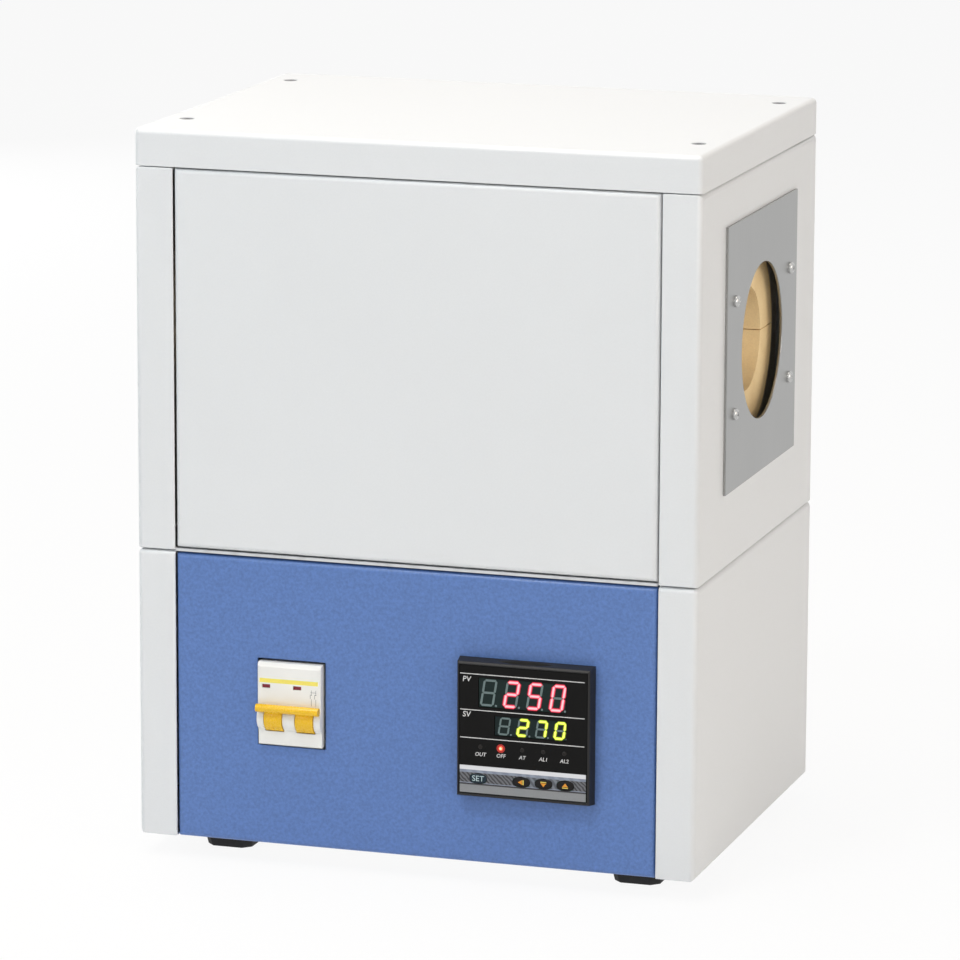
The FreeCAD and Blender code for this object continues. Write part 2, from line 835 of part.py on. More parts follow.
def controller_bezel():
    y0 = y_front - bezel_depth
    shape = Part.makeLoft([square_wire(bezel_back, y_front), square_wire(bezel_front, y0)], True)
    front = [e for e in shape.Edges if all(abs(v.Y - y0) < 1e-6 for v in e.Vertexes)]
    shape = shape.makeChamfer(bezel_chamfer, front)
    return cut_all(shape, [
        centred_box(face_width + 2 * fit_gap, face_height + 2 * fit_gap, y0 - cut_margin,
                    y_behind_face),
        centred_box(bezel_opening, bezel_opening, y0 - cut_margin, y_front + cut_margin),
        bezel_recess()])


def controller_face():
    shape = centred_box(face_width, face_height, y_face, y_behind_face)
    y0, y1 = y_face - cut_margin, y_behind_face + cut_margin
    tools = [face_box(pv_left, pv_right, pv_low, pv_high, y0, y1),
             face_box(sv_left, sv_right, sv_low, sv_high, y0, y1)]
    tools += [lamp_block(x, key_gap, y0, y1) for x in lamp_places]
    tools += [key_block(x, key_gap, y0, y1) for x in key_places]
    return cut_all(shape, tools)


def lamp_block(x, spare, y0, y1):
    side = lamp_side + 2 * spare
    centre = V(controller_x + x, y0, z_controller + lamp_rise)
    return outline(octagon(centre, X, Z, side, side, lamp_corner), Y, y1 - y0)


def display(left, right, low, high):
    gap = display_gap
    return face_box(left + gap, right - gap, low + gap, high - gap,
                    y_face + gap, y_board)


def indicator_lamps():
    return Part.makeCompound([lamp_block(x, 0, y_face + face_thickness / 2, y_board)
                              for x in lamp_places])


def key(x):
    # A key cap that stands through the face, with a flange behind it and a stem to its switch
    flange_y, half = y_key_stem - key_flange_thickness, key_stem_side / 2
    stem = face_box(x - half, x + half, key_rise - half, key_rise + half, flange_y,
                    y_key_stem + key_stem_length)
    return joined([key_block(x, 0, y_face - key_proud, y_key_stem),
                   key_block(x, key_flange, flange_y, y_key_stem), stem])


def display_board():
    # The board behind the displays, with a switch that each key meets at the end of its travel
    size, half = bezel_opening - 2 * fit_gap, switch_side / 2
    board = centred_box(size, size, y_board, y_front)
    switches = [face_box(x - half, x + half, key_rise - half, key_rise + half,
                         y_key_stem + key_stem_length + key_travel, y_front) for x in key_places]
    return joined([board] + switches)


def controller_case():
    inner = case_square - 2 * case_wall
    shape = centred_box(case_square, case_square, y_front, y_front + case_length)
    return shape.cut(centred_box(inner, inner, y_front + case_wall,
                                 y_front + case_length - case_wall))


def controller_clamps():
    # A clamp above and one below the case, pressed against the back of the panel
    base = case_square / 2
    profile = [(sheet, base), (sheet, base + clamp_height), (2 * clamp_height, base + clamp_height),
               (clamp_length, base + clamp_height / 2), (clamp_length, base)]
    upper = outline([V(controller_x - clamp_width / 2, y_front + y, z_controller + z)
                     for y, z in profile], X, clamp_width)
    lower = turned(upper, V(controller_x, y_front, z_controller), Y, 180)
    return Part.makeCompound([upper, lower])


# Relay, heat sink, terminal strip and mains inlet

def heat_sink():
    x0, x1 = sink_x - sink_width / 2, sink_x + sink_width / 2
    y1 = y_rear - sink_rear_gap
    top = z_inside + sink_height
    parts = [box(x0, x1, y1 - sink_length, y1, top - sink_plate, top)]
    pitch = (sink_width - sink_fin_thickness) / (sink_fins - 1)
    for i in range(sink_fins):
        x = x0 + i * pitch
        parts.append(box(x, x + sink_fin_thickness, y1 - sink_length, y1, z_inside, top))
    return joined(parts)


def solid_state_relay():
    y = y_rear - sink_rear_gap - sink_length / 2
    z = z_inside + sink_height
    low = [sink_x - relay_width / 2, y - relay_length / 2, z]
    high = [sink_x + relay_width / 2, y + relay_length / 2, z + relay_height]
    shape = corner_box(low, high)
    shape = shape.makeChamfer(relay_chamfer, box_edges(shape, low, high, ["-z"], True))
    inset, half = relay_well_side, relay_well_side / 2
    floor, top = high[2] - relay_well_depth, high[2] + cut_margin
    wells = [box(x - half, x + half, yy - half, yy + half, floor, top)
             for x in (low[0] + inset, high[0] - inset)
             for yy in (low[1] + inset, high[1] - inset)]
    return cut_all(shape, wells)


def terminal_strip():
    x0, y1 = strip_x - strip_length / 2, y_rear - strip_rear_gap
    y0 = y1 - strip_depth
    top = z_inside + strip_height
    parts = [box(x0, x0 + strip_length, y0, y1, z_inside, top)]
    pitch = (strip_length - strip_barrier_thickness) / strip_ways
    for i in range(strip_ways + 1):
        x = x0 + i * pitch
        parts.append(box(x, x + strip_barrier_thickness, y0, y1, z_inside,
                         top + strip_barrier_height))
    return joined(parts)


def inlet_outline(width, height, y):
    # The socket's outline, a rectangle with its two upper corners cut off
    z = z_base + inlet_rise
    a, b, c = width / 2, height / 2, inlet_key_chamfer
    places = [(-a, -b), (a, -b), (a, b - c), (a - c, b), (c - a, b), (-a, b - c)]
    return [V(inlet_x + i, y, z + j) for i, j in places]


def mains_inlet():
    # A mains socket with a flange outside the rear cover and its body inside
    y1 = y_rear + sheet + inlet_flange_thickness
    z = z_base + inlet_rise
    flange = outline(octagon(V(inlet_x, y_rear + sheet, z), X, Z, inlet_flange_width,
                             inlet_flange_height, inlet_flange_corner), Y, inlet_flange_thickness)
    back = y1 - inlet_body_depth
    body = outline(inlet_outline(inlet_body_width, inlet_body_height, back), Y, inlet_body_depth)
    width, height = inlet_body_width - 2 * inlet_wall, inlet_body_height - 2 * inlet_wall
    socket = outline(inlet_outline(width, height, y1 - inlet_socket_depth), Y,
                     inlet_socket_depth + cut_margin)
    return cut_all(joined([flange, body]), [socket])


def inlet_screws():
    reach = inlet_flange_width / 2 - inlet_screw_inset
    y = y_rear + sheet + inlet_flange_thickness
    return Part.makeCompound([
        screw_head(V(inlet_x + side * reach, y, z_base + inlet_rise), Y, inlet_head_radius,
                   inlet_head_height) for side in (-1, 1)])


def inlet_pins():
    y0 = y_rear + sheet + inlet_flange_thickness - inlet_socket_depth
    z = z_base + inlet_rise
    half_w, half_h = inlet_pin_width / 2, inlet_pin_height / 2
    places = [(-inlet_pin_pitch, -inlet_pin_drop), (inlet_pin_pitch, -inlet_pin_drop),
              (0, inlet_earth_rise)]
    return Part.makeCompound([
        box(inlet_x + i - half_w, inlet_x + i + half_w, y0, y0 + inlet_pin_length,
            z + j - half_h, z + j + half_h) for i, j in places])


# All nodes

def all_nodes():
    nodes = {"base_plate": base_plate(), "control_panel": control_panel(),
             "lower_rear_cover": lower_rear_cover(), "upper_rear_cover": upper_rear_cover(),
             "rear_cover_screws": rear_cover_screws(),
             "mid_deck": mid_deck(), "upper_front_panel": upper_front_panel(),
             "bore_plate_screws": bore_plate_screws(), "top_cover": top_cover(),
             "cover_screws": cover_screws(), "thermocouple": thermocouple(),
             "tail_blocks": tail_blocks(), "breaker_housing": breaker_housing(),
             "breaker_tie_bar": tie_bar(), "din_rail": din_rail(),
             "rail_bracket": rail_bracket(), "controller_bezel": controller_bezel(),
             "controller_face": controller_face(), "controller_case": controller_case(),
             "controller_clamps": controller_clamps(), "display_board": display_board(),
             "display_pv": display(pv_left, pv_right, pv_low, pv_high),
             "display_sv": display(sv_left, sv_right, sv_low, sv_high),
             "indicator_lamps": indicator_lamps(), "heat_sink": heat_sink(),
             "solid_state_relay": solid_state_relay(), "terminal_strip": terminal_strip(),
             "mains_inlet": mains_inlet(), "inlet_screws": inlet_screws(),
             "inlet_pins": inlet_pins()}
    pairs = {"lower_side": lower_side(), "upper_side": upper_side(),
             "cover_rail": cover_rail(), "bore_plate": bore_plate()}
    for name, shape in pairs.items():
        nodes[name + "_right"], nodes[name + "_left"] = both_sides(shape)
    for side, half in ((1, "upper"), (-1, "lower")):
        nodes["insulation_" + half] = insulation(side)
        nodes["heater_shell_" + half] = heater_shell(side)
        nodes["heating_element_" + half] = heating_element(side)
        right, left = both_sides(collar(side))
        nodes["collar_right_" + half], nodes["collar_left_" + half] = right, left
    for pole, name in ((-1, "left"), (1, "right")):
        nodes["breaker_lever_" + name] = breaker_lever(pole)
        nodes["breaker_flag_" + name] = breaker_flag(pole)
    for name, x in zip(key_names, key_places):
        nodes["key_" + name] = key(x)
    places = ("front_left", "front_right", "rear_left", "rear_right")
    for name, point in zip(places, foot_points(0)):
        nodes["foot_" + name] = foot(point)
    return nodes


os.makedirs("parts", exist_ok=True)
for name, shape in all_nodes().items():
    shape.exportStep(os.path.join("parts", name + ".step"))
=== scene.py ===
import json
import math
import bmesh
import bpy
from mathutils import Matrix, Vector


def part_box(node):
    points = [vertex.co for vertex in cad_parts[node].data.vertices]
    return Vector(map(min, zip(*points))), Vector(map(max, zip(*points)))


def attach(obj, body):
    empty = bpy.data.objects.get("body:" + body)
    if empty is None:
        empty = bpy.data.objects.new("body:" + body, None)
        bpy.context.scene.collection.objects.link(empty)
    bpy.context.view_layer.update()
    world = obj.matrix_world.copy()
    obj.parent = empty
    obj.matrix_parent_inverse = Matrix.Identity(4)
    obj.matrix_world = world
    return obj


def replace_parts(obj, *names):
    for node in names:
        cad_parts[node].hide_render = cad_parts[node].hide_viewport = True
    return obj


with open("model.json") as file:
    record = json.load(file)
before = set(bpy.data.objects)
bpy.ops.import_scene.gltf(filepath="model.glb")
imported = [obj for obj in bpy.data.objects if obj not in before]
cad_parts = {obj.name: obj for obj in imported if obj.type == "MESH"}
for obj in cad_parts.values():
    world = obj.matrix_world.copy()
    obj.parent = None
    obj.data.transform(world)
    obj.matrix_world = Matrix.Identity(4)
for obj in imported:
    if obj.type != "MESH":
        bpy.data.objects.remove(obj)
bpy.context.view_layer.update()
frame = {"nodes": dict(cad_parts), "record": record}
nodes = frame["nodes"]


def corners(node):
    # The lowest and highest corner of a CAD node, in millimetres
    low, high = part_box(node)
    return low * 1000, high * 1000


def centre_of(node):
    low, high = corners(node)
    return (low + high) / 2


# Places in millimetres, in the same frame as the CAD model and read from it
case_low, case_high = corners("upper_side_right")
X_SIDE, Y_FRONT, Y_REAR = case_high.x, case_low.y, case_high.y
Y_MID = (Y_FRONT + Y_REAR) / 2
Z_AXIS = centre_of("bore_plate_right").z
BREAKER_X, BREAKER_Z = centre_of("breaker_housing").x, centre_of("breaker_housing").z
CONTROLLER_X, CONTROLLER_Z = centre_of("controller_face").x, centre_of("controller_face").z
Y_FACE = corners("controller_face")[0].y
NOSE_PROUD = 4.0
Y_NOSE = Y_FRONT - NOSE_PROUD


# Camera, at the photograph's viewing angle: millimetres, radians and lens

CAMERA_PLACE = (885.544, -2776.185, 799.336)
CAMERA_YAW, CAMERA_PITCH, CAMERA_ROLL = 0.309, 0.205, 0.004
CAMERA_LENS = 205.215


def camera():
    data = bpy.data.cameras.new("camera")
    data.sensor_width = 36.0
    data.lens = CAMERA_LENS
    data.clip_start, data.clip_end = 0.1, 50.0
    obj = bpy.data.objects.new("camera", data)
    bpy.context.scene.collection.objects.link(obj)
    yaw, pitch, roll = CAMERA_YAW, CAMERA_PITCH, CAMERA_ROLL
    ahead = Vector((-math.sin(yaw) * math.cos(pitch), math.cos(yaw) * math.cos(pitch),
                    -math.sin(pitch)))
    right = Vector((math.cos(yaw), math.sin(yaw), 0.0))
    up = right.cross(ahead)
    right, up = (right * math.cos(roll) + up * math.sin(roll),
                 up * math.cos(roll) - right * math.sin(roll))
    turn = Matrix((right, up, -ahead)).transposed()
    obj.matrix_world = Matrix.Translation(Vector(CAMERA_PLACE) / 1000) @ turn.to_4x4()
    bpy.context.scene.camera = obj


# Materials

def mixed(tree, share, first, second):
    """A mix of two colours, each a value or an output. The numbers are its colour sockets."""
    node = tree.nodes.new("ShaderNodeMix")
    node.data_type = "RGBA"
    for value, socket in ((share, 0), (first, 6), (second, 7)):
        if isinstance(value, (float, tuple)):
            node.inputs[socket].default_value = value
        else:
            tree.links.new(value, node.inputs[socket])
    return node.outputs[2]


def between(tree, share, low, high):
    """A value from low to high, by a share from 0 to 1."""
    node = tree.nodes.new("ShaderNodeMapRange")
    node.inputs["To Min"].default_value = low
    node.inputs["To Max"].default_value = high
    tree.links.new(share, node.inputs["Value"])
    return node.outputs["Result"]


class Shader:
    """A material's nodes, with one Principled shader."""

    def __init__(self, name, colour, roughness, metallic=0.0, shine=0.5):
        self.material = bpy.data.materials.new(name)
        self.material.use_nodes = True
        self.tree = self.material.node_tree
        self.shader = self.tree.nodes["Principled BSDF"]
        self.material.diffuse_color = (*colour, 1.0)
        self.set("Base Color", (*colour, 1.0))
        self.set("Roughness", roughness)
        self.set("Metallic", metallic)
        self.set("Specular IOR Level", shine)
        self.place = self.add("ShaderNodeTexCoord").outputs["Object"]

    def set(self, socket, value):
        self.shader.inputs[socket].default_value = value

    def add(self, kind, **values):
        node = self.tree.nodes.new(kind)
        for name, value in values.items():
            setattr(node, name, value)
        return node

    def link(self, output, target, socket):
        self.tree.links.new(output, target.inputs[socket])

    def stretched(self, scale):
        mapping = self.add("ShaderNodeMapping")
        mapping.inputs["Scale"].default_value = scale
        self.link(self.place, mapping, "Vector")
        return mapping.outputs["Vector"]

    def noise(self, scale, detail=2.0, rough=0.5, stretch=None):
        node = self.add("ShaderNodeTexNoise")
        node.inputs["Scale"].default_value = scale
        node.inputs["Detail"].default_value = detail
        node.inputs["Roughness"].default_value = rough
        self.link(self.stretched(stretch) if stretch else self.place, node, "Vector")
        return node.outputs["Fac"]

    def cells(self, scale):
        node = self.add("ShaderNodeTexVoronoi")
        node.inputs["Scale"].default_value = scale
        self.link(self.place, node, "Vector")
        return node.outputs["Distance"]

    def ramp(self, value, stops):
        node = self.add("ShaderNodeValToRGB")
        elements = node.color_ramp.elements
        while len(elements) < len(stops):
            elements.new(0.5)
        for element, (place, colour) in zip(elements, stops):
            element.position = place
            element.color = (*colour, 1.0)
        self.link(value, node, "Fac")
        return node.outputs["Color"]

    def mix(self, share, first, second):
        return mixed(self.tree, share, first, second)

    def colour(self, output):
        self.link(output, self.shader, "Base Color")

    def rough(self, value, low, high):
        self.link(between(self.tree, value, low, high), self.shader, "Roughness")

    def bump(self, value, strength, distance):
        node = self.add("ShaderNodeBump")
        node.inputs["Strength"].default_value = strength
        node.inputs["Distance"].default_value = distance
        self.link(value, node, "Height")
        before = self.shader.inputs["Normal"]
        if before.is_linked:
            self.link(before.links[0].from_socket, node, "Normal")
        self.link(node.outputs["Normal"], self.shader, "Normal")


def shade(colour, factor):
    return tuple(min(1.0, c * factor) for c in colour)


def powder_coat(name, colour, grain, depth, speckle, roughness):
    # A baked powder coat: fine orange peel, with slight mottling and a little gloss variation
    s = Shader(name, colour, roughness)
    fine = s.noise(grain, 3.0, 0.6)
    broad = s.noise(9.0, 2.0)
    tone = s.ramp(fine, [(0.25, shade(colour, 1 - speckle)), (0.5, colour),
                         (0.75, shade(colour, 1 + speckle))])
    drift = s.ramp(broad, [(0.3, shade(colour, 0.985)), (0.7, shade(colour, 1.01))])
    s.colour(s.mix(0.35, tone, drift))
    s.rough(broad, roughness - 0.04, roughness + 0.05)
    s.bump(fine, 0.5, depth)
    s.bump(s.noise(grain * 0.3, 1.0), 0.4, depth)
    return s.material


def brushed(name, colour, roughness, along, streak=0.12):
    # Metal with a grain along one axis of the frame
    s = Shader(name, colour, roughness, 1.0)
    scale = [1400.0] * 3
    scale["xyz".index(along)] = 22.0
    grain = s.noise(1.0, 3.0, 0.7, tuple(scale))
    cloud = s.noise(24.0, 3.0)
    tone = s.ramp(grain, [(0.3, shade(colour, 1 - streak)), (0.7, shade(colour, 1 + streak))])
    stain = s.ramp(cloud, [(0.35, shade(colour, 0.94)), (0.7, shade(colour, 1.03))])
    s.colour(s.mix(0.4, tone, stain))
    s.rough(grain, roughness - 0.06, roughness + 0.1)
    s.bump(grain, 0.25, 0.00003)
    return s.material


def zinc(name, colour):
    # Zinc-plated sheet with faint spangles
    s = Shader(name, colour, 0.42, 1.0)
    flakes = s.cells(160.0)
    tone = s.ramp(flakes, [(0.1, shade(colour, 0.9)), (0.6, shade(colour, 1.06))])
    s.colour(tone)
    s.rough(s.noise(60.0, 3.0), 0.34, 0.5)
    s.bump(s.noise(700.0, 2.0), 0.2, 0.00004)
    return s.material


def metal(name, colour, roughness, grain=900.0, wear=0.08):
    s = Shader(name, colour, roughness, 1.0)
    noise = s.noise(grain, 3.0, 0.6)
    s.colour(s.ramp(noise, [(0.3, shade(colour, 1 - wear)), (0.7, shade(colour, 1 + wear))]))
    s.rough(noise, roughness - 0.05, roughness + 0.08)
    s.bump(noise, 0.2, 0.00003)
    return s.material


def plastic(name, colour, roughness, grain=1500.0, depth=0.00002, shine=0.5):
    # Moulded plastic with a spark-eroded grain, and a slight drift in tone
    s = Shader(name, colour, roughness, shine=shine)
    noise = s.noise(grain, 2.0, 0.5)
    broad = s.noise(40.0, 2.0)
    s.colour(s.ramp(broad, [(0.3, shade(colour, 0.97)), (0.7, shade(colour, 1.03))]))
    s.rough(noise, roughness - 0.05, roughness + 0.06)
    s.bump(noise, 0.35, depth)
    return s.material


def two_colours(name, low_colour, high_colour, level):
    # Moulded plastic in two colours that meet at a height, in millimetres
    s = Shader(name, low_colour, 0.35)
    parts = s.add("ShaderNodeSeparateXYZ")
    s.link(s.place, parts, "Vector")
    above = s.add("ShaderNodeMath", operation="GREATER_THAN")
    above.inputs[1].default_value = level / 1000
    s.tree.links.new(parts.outputs["Z"], above.inputs[0])
    s.colour(s.mix(above.outputs["Value"], (*low_colour, 1.0), (*high_colour, 1.0)))
    s.bump(s.noise(1300.0, 2.0), 0.3, 0.00002)
    return s.material


def rubber(name, colour):
    s = Shader(name, colour, 0.75)
    noise = s.noise(1100.0, 3.0, 0.6)
    dust = s.noise(60.0, 4.0, 0.6)
    s.colour(s.ramp(dust, [(0.4, colour), (0.75, shade(colour, 2.2))]))
    s.rough(noise, 0.66, 0.86)
    s.bump(noise, 0.5, 0.00006)
    return s.material


def refractory(name, colour, dark):
    # Cast fibrous refractory: sandy grain, pores and soft scorch marks
    s = Shader(name, colour, 0.92)
    sand = s.noise(900.0, 4.0, 0.7)
    blotch = s.noise(55.0, 4.0, 0.65)
    pores = s.cells(420.0)
    tone = s.ramp(sand, [(0.25, shade(colour, 0.86)), (0.55, colour), (0.8, shade(colour, 1.1))])
    scorch = s.ramp(blotch, [(0.3, dark), (0.6, colour)])
    s.colour(s.mix(0.4, tone, scorch))
    s.rough(sand, 0.85, 0.98)
    s.bump(sand, 0.6, 0.00018)
    s.bump(pores, 0.3, 0.00025)
    s.bump(blotch, 0.4, 0.0006)
    return s.material


def glowing(name, colour, strength):
    # A lit segment or lamp, a little brighter in places as a diffused light is
    s = Shader(name, shade(colour, 0.5), 0.4)
    s.set("Emission Strength", strength)
    noise = s.noise(900.0, 1.0)
    tone = s.ramp(noise, [(0.3, shade(colour, 0.92)), (0.7, colour)])
    s.link(tone, s.shader, "Emission Color")
    return s.material


def hatched(name, colour, dark, pitch):
    # A printed band with fine slanted hatching
    s = Shader(name, colour, 0.5, shine=0.3)
    wave = s.add("ShaderNodeTexWave", wave_type="BANDS", bands_direction="DIAGONAL")
    wave.inputs["Scale"].default_value = math.pi / (5 * pitch)
    wave.inputs["Distortion"].default_value = 3.0
    wave.inputs["Detail"].default_value = 2.0
    s.link(s.place, wave, "Vector")
    s.colour(s.ramp(wave.outputs["Fac"], [(0.2, dark), (0.8, colour)]))
    return s.material


def printed(name, colour, roughness=0.5):
    s = Shader(name, colour, roughness)
    noise = s.noise(2500.0, 2.0)
    s.colour(s.ramp(noise, [(0.3, shade(colour, 0.93)), (0.7, colour)]))
    return s.material


WHITE = (0.80, 0.82, 0.84)
BLUE = (0.105, 0.205, 0.50)

MATERIALS = {
    "white_paint": powder_coat("white_powder_coat", WHITE, 900.0, 0.00004, 0.02, 0.30),
    "blue_paint": powder_coat("blue_powder_coat", BLUE, 620.0, 0.00009, 0.24, 0.36),
    "zinc_sheet": zinc("zinc_plated_sheet", (0.62, 0.63, 0.64)),
    "stainless": brushed("brushed_stainless", (0.36, 0.36, 0.355), 0.34, "z"),
    "bright_screws": metal("bright_plated_steel", (0.50, 0.50, 0.49), 0.26),
    "dark_screws": metal("dark_plated_steel", (0.2, 0.2, 0.21), 0.4),
    "foot_rubber": rubber("black_rubber", (0.016, 0.016, 0.017)),
    "fibre_block": refractory("ceramic_fibre_board", (0.80, 0.77, 0.70), (0.6, 0.55, 0.46)),
    "refractory": refractory("cast_refractory", (0.95, 0.735, 0.415), (0.78, 0.53, 0.25)),
    "heating_alloy": metal("oxidised_heating_alloy", (0.16, 0.14, 0.125), 0.55, 1500.0, 0.25),
    "sheath_ceramic": refractory("dense_ceramic", (0.84, 0.81, 0.74), (0.74, 0.7, 0.6)),
    "breaker_white": plastic("breaker_white_plastic", (0.90, 0.90, 0.87), 0.36),
    "breaker_yellow": plastic("breaker_yellow_plastic", (0.93, 0.56, 0.012), 0.27, 1300.0),
    "breaker_red": two_colours("flag_red_and_green", (0.33, 0.02, 0.04), (0.03, 0.3, 0.07),
                               centre_of("breaker_flag_left").z),
    "black_plastic": plastic("black_textured_plastic", (0.015, 0.0145, 0.0145), 0.46, 1400.0,
                             0.00005, shine=0.3),
    "face_film": plastic("black_face_film", (0.005, 0.0048, 0.0046), 0.24, 400.0, 0.000004,
                         shine=0.12),
    "display_red": plastic("dark_display_window", (0.009, 0.021, 0.02), 0.2, 400.0, 0.000002,
                           shine=0.15),
    "display_green": plastic("dark_display_window_low", (0.008, 0.018, 0.018), 0.2, 400.0, 0.000002,
                             shine=0.15),
    "lamp_red": plastic("unlit_lamp_lens", (0.014, 0.012, 0.011), 0.3, 800.0, shine=0.2),
    "key_plastic": plastic("black_key_rubber", (0.008, 0.007, 0.007), 0.48, 1300.0, 0.00003,
                           shine=0.2),
    "circuit_board": plastic("green_solder_mask", (0.02, 0.17, 0.07), 0.3, 500.0),
    "sink_aluminium": brushed("extruded_aluminium", (0.74, 0.75, 0.76), 0.38, "y"),
    "relay_plastic": plastic("beige_relay_plastic", (0.66, 0.63, 0.55), 0.45),
    "strip_plastic": plastic("black_strip_plastic", (0.03, 0.03, 0.03), 0.45),
    "pin_brass": metal("plated_brass", (0.72, 0.62, 0.4), 0.25),
}

slots = {row["node"]: row["material_slot"] for row in frame["record"]["subparts"]}
for node_name, node in nodes.items():
    node.data.materials.clear()
    node.data.materials.append(MATERIALS[slots[node_name]])


# Mesh helpers

OVAL_SIDES = 36
# Faces that meet at less than this angle are shaded as one
HEAD_SMOOTH, WIRE_SMOOTH, CAP_SMOOTH = (math.radians(angle) for angle in (38, 70, 40))


def new_object(name, mesh, material, body="furnace"):
    obj = bpy.data.objects.new(name, mesh)
    bpy.context.scene.collection.objects.link(obj)
    for item in material if isinstance(material, (list, tuple)) else [material]:
        mesh.materials.append(item)
    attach(obj, body)
    return obj


def finish_mesh(bm, name, smooth_angle=None):
    bmesh.ops.scale(bm, vec=(0.001, 0.001, 0.001), verts=bm.verts)
    bmesh.ops.recalc_face_normals(bm, faces=bm.faces)
    if smooth_angle is not None:
        for face in bm.faces:
            face.smooth = True
        for edge in bm.edges:
            edge.smooth = len(edge.link_faces) == 2 and edge.calc_face_angle(0.0) < smooth_angle
    mesh = bpy.data.meshes.new(name)
    bm.to_mesh(mesh)
    bm.free()
    return mesh


def stacked(bm, rings, material=0):
    """A closed form through rings that have as many points each."""
    levels = [[bm.verts.new(p) for p in ring] for ring in rings]
    faces = [bm.faces.new(levels[0]), bm.faces.new(list(reversed(levels[-1])))]
    for low, high in zip(levels, levels[1:]):
        for k in range(len(low)):
            faces.append(bm.faces.new([low[k - 1], low[k], high[k], high[k - 1]]))
    for face in faces:
        face.material_index = material


def prism(bm, points, offset, material):
    """A closed prism from a flat outline of points, moved by offset for its far end."""
    stacked(bm, [points, [Vector(p) + Vector(offset) for p in points]], material)


def stacked_mesh(name, rings):
    bm = bmesh.new()
    stacked(bm, rings)
    bmesh.ops.recalc_face_normals(bm, faces=bm.faces)
    mesh = bpy.data.meshes.new(name)
    bm.to_mesh(mesh)
    bm.free()
    return mesh


def tube(bm, points, radius, sides):
    """A round wire along a line of points, with closed ends."""
    rings = []
    across = None
    for i, point in enumerate(points):
        ahead = (points[min(i + 1, len(points) - 1)] - points[max(i - 1, 0)]).normalized()
        if across is None:
            across = ahead.orthogonal().normalized()
        across = (across - ahead * across.dot(ahead)).normalized()
        other = ahead.cross(across)
        rings.append([point + (across * math.cos(a) + other * math.sin(a)) * radius
                      for a in (2 * math.pi * k / sides for k in range(sides))])
    stacked(bm, rings)


def oval(half_x, half_z, power):
    """Points round an oval, squarer than an ellipse when the power is over 2."""
    points = []
    for i in range(OVAL_SIDES):
        a = 2 * math.pi * i / OVAL_SIDES
        c, s = math.cos(a), math.sin(a)
        points.append((math.copysign(abs(c) ** (2 / power), c) * half_x,
                       math.copysign(abs(s) ** (2 / power), s) * half_z))
    return points


def evaluated(obj):
    mesh = bpy.data.meshes.new_from_object(obj.evaluated_get(bpy.context.evaluated_depsgraph_get()))
    bpy.data.objects.remove(obj)
    return mesh


def temporary(data):
    obj = bpy.data.objects.new("temporary", data)
    bpy.context.scene.collection.objects.link(obj)
    return obj


def carved(mesh, cutter):
    """The mesh less the cutter."""
    obj, tool = temporary(mesh), temporary(cutter)
    cut = obj.modifiers.new("cut", "BOOLEAN")
    cut.operation, cut.solver, cut.object = "DIFFERENCE", "EXACT", tool
    result = evaluated(obj)
    bpy.data.objects.remove(tool)
    return result


# Screws

HEAD_SIDES = 32
# Shares of the radius and the height along each kind of head
PAN_PROFILE = [(1.0, 0.0), (1.0, 0.34), (0.95, 0.6), (0.8, 0.84), (0.55, 0.95), (0.28, 1.0)]
SUNK_PROFILE = [(1.0, 0.0), (1.0, 0.7), (0.96, 0.85), (0.85, 0.95), (0.55, 1.0), (0.28, 1.0)]
RECESS_ARM, RECESS_TIP = 0.13, 0.52
# Share of the recess's width and of the head's height, at its floor and above the head
RECESS_PROFILE = ((0.55, 0.35), (1.0, 1.2))
FIRST_TURN, NEXT_TURN = 0.7, 1.1

# Radius and height of the heads, in millimetres
PLATE_HEAD, COVER_HEAD, REAR_HEAD, INLET_HEAD = (3.2, 2.4), (3.6, 1.15), (3.9, 2.5), (2.7, 1.55)
PLATE_THICKNESS, PLATE_SCREW_Y, PLATE_SCREW_Z = 1.5, 56.0, 30.0
COVER_SCREW_X, COVER_SCREW_SEAT = 141.0, 393.7
COVER_SCREW_FROM_FRONT, COVER_SCREW_FROM_REAR = 42.0, 30.0
REAR_THICKNESS, REAR_SCREW_X, REAR_SCREW_HEIGHTS = 1.2, 140.8, (30.0, 151.0, 187.5, 356.5)
INLET_SCREW_X = 20.0


def pan_head(radius, height, sunk):
    """A screw head that faces +Z, with a cross recess."""
    turns = [2 * math.pi * k / HEAD_SIDES for k in range(HEAD_SIDES)]
    head = [[(radius * r * math.cos(a), radius * r * math.sin(a), height * z) for a in turns]
            for r, z in (SUNK_PROFILE if sunk else PAN_PROFILE)]
    arm, tip = RECESS_ARM * radius, RECESS_TIP * radius
    plan = []
    for c, s in ((1, 0), (0, 1), (-1, 0), (0, -1)):
        plan += [(c * x - s * y, s * x + c * y) for x, y in ((arm, -arm), (tip, -arm), (tip, arm))]
    recess = [[(x * share, y * share, height * z) for x, y in plan] for share, z in RECESS_PROFILE]
    return carved(stacked_mesh("head", head), stacked_mesh("recess", recess))


def screws(name, replaced, places, size, slot, sunk=False):
    """Screw heads at points with directions, each turned by its own angle."""
    head = pan_head(*size, sunk)
    bm = bmesh.new()
    for index, (point, direction) in enumerate(places):
        before = set(bm.verts)
        bm.from_mesh(head)
        turn = Matrix.Rotation(FIRST_TURN + NEXT_TURN * index, 4, "Z")
        face = Vector(direction).to_track_quat("Z", "Y").to_matrix().to_4x4()
        bmesh.ops.transform(bm, matrix=Matrix.Translation(Vector(point)) @ face @ turn,
                            verts=[v for v in bm.verts if v not in before])
    mesh = finish_mesh(bm, name, HEAD_SMOOTH)
    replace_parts(new_object(name, mesh, MATERIALS[slot]), replaced)


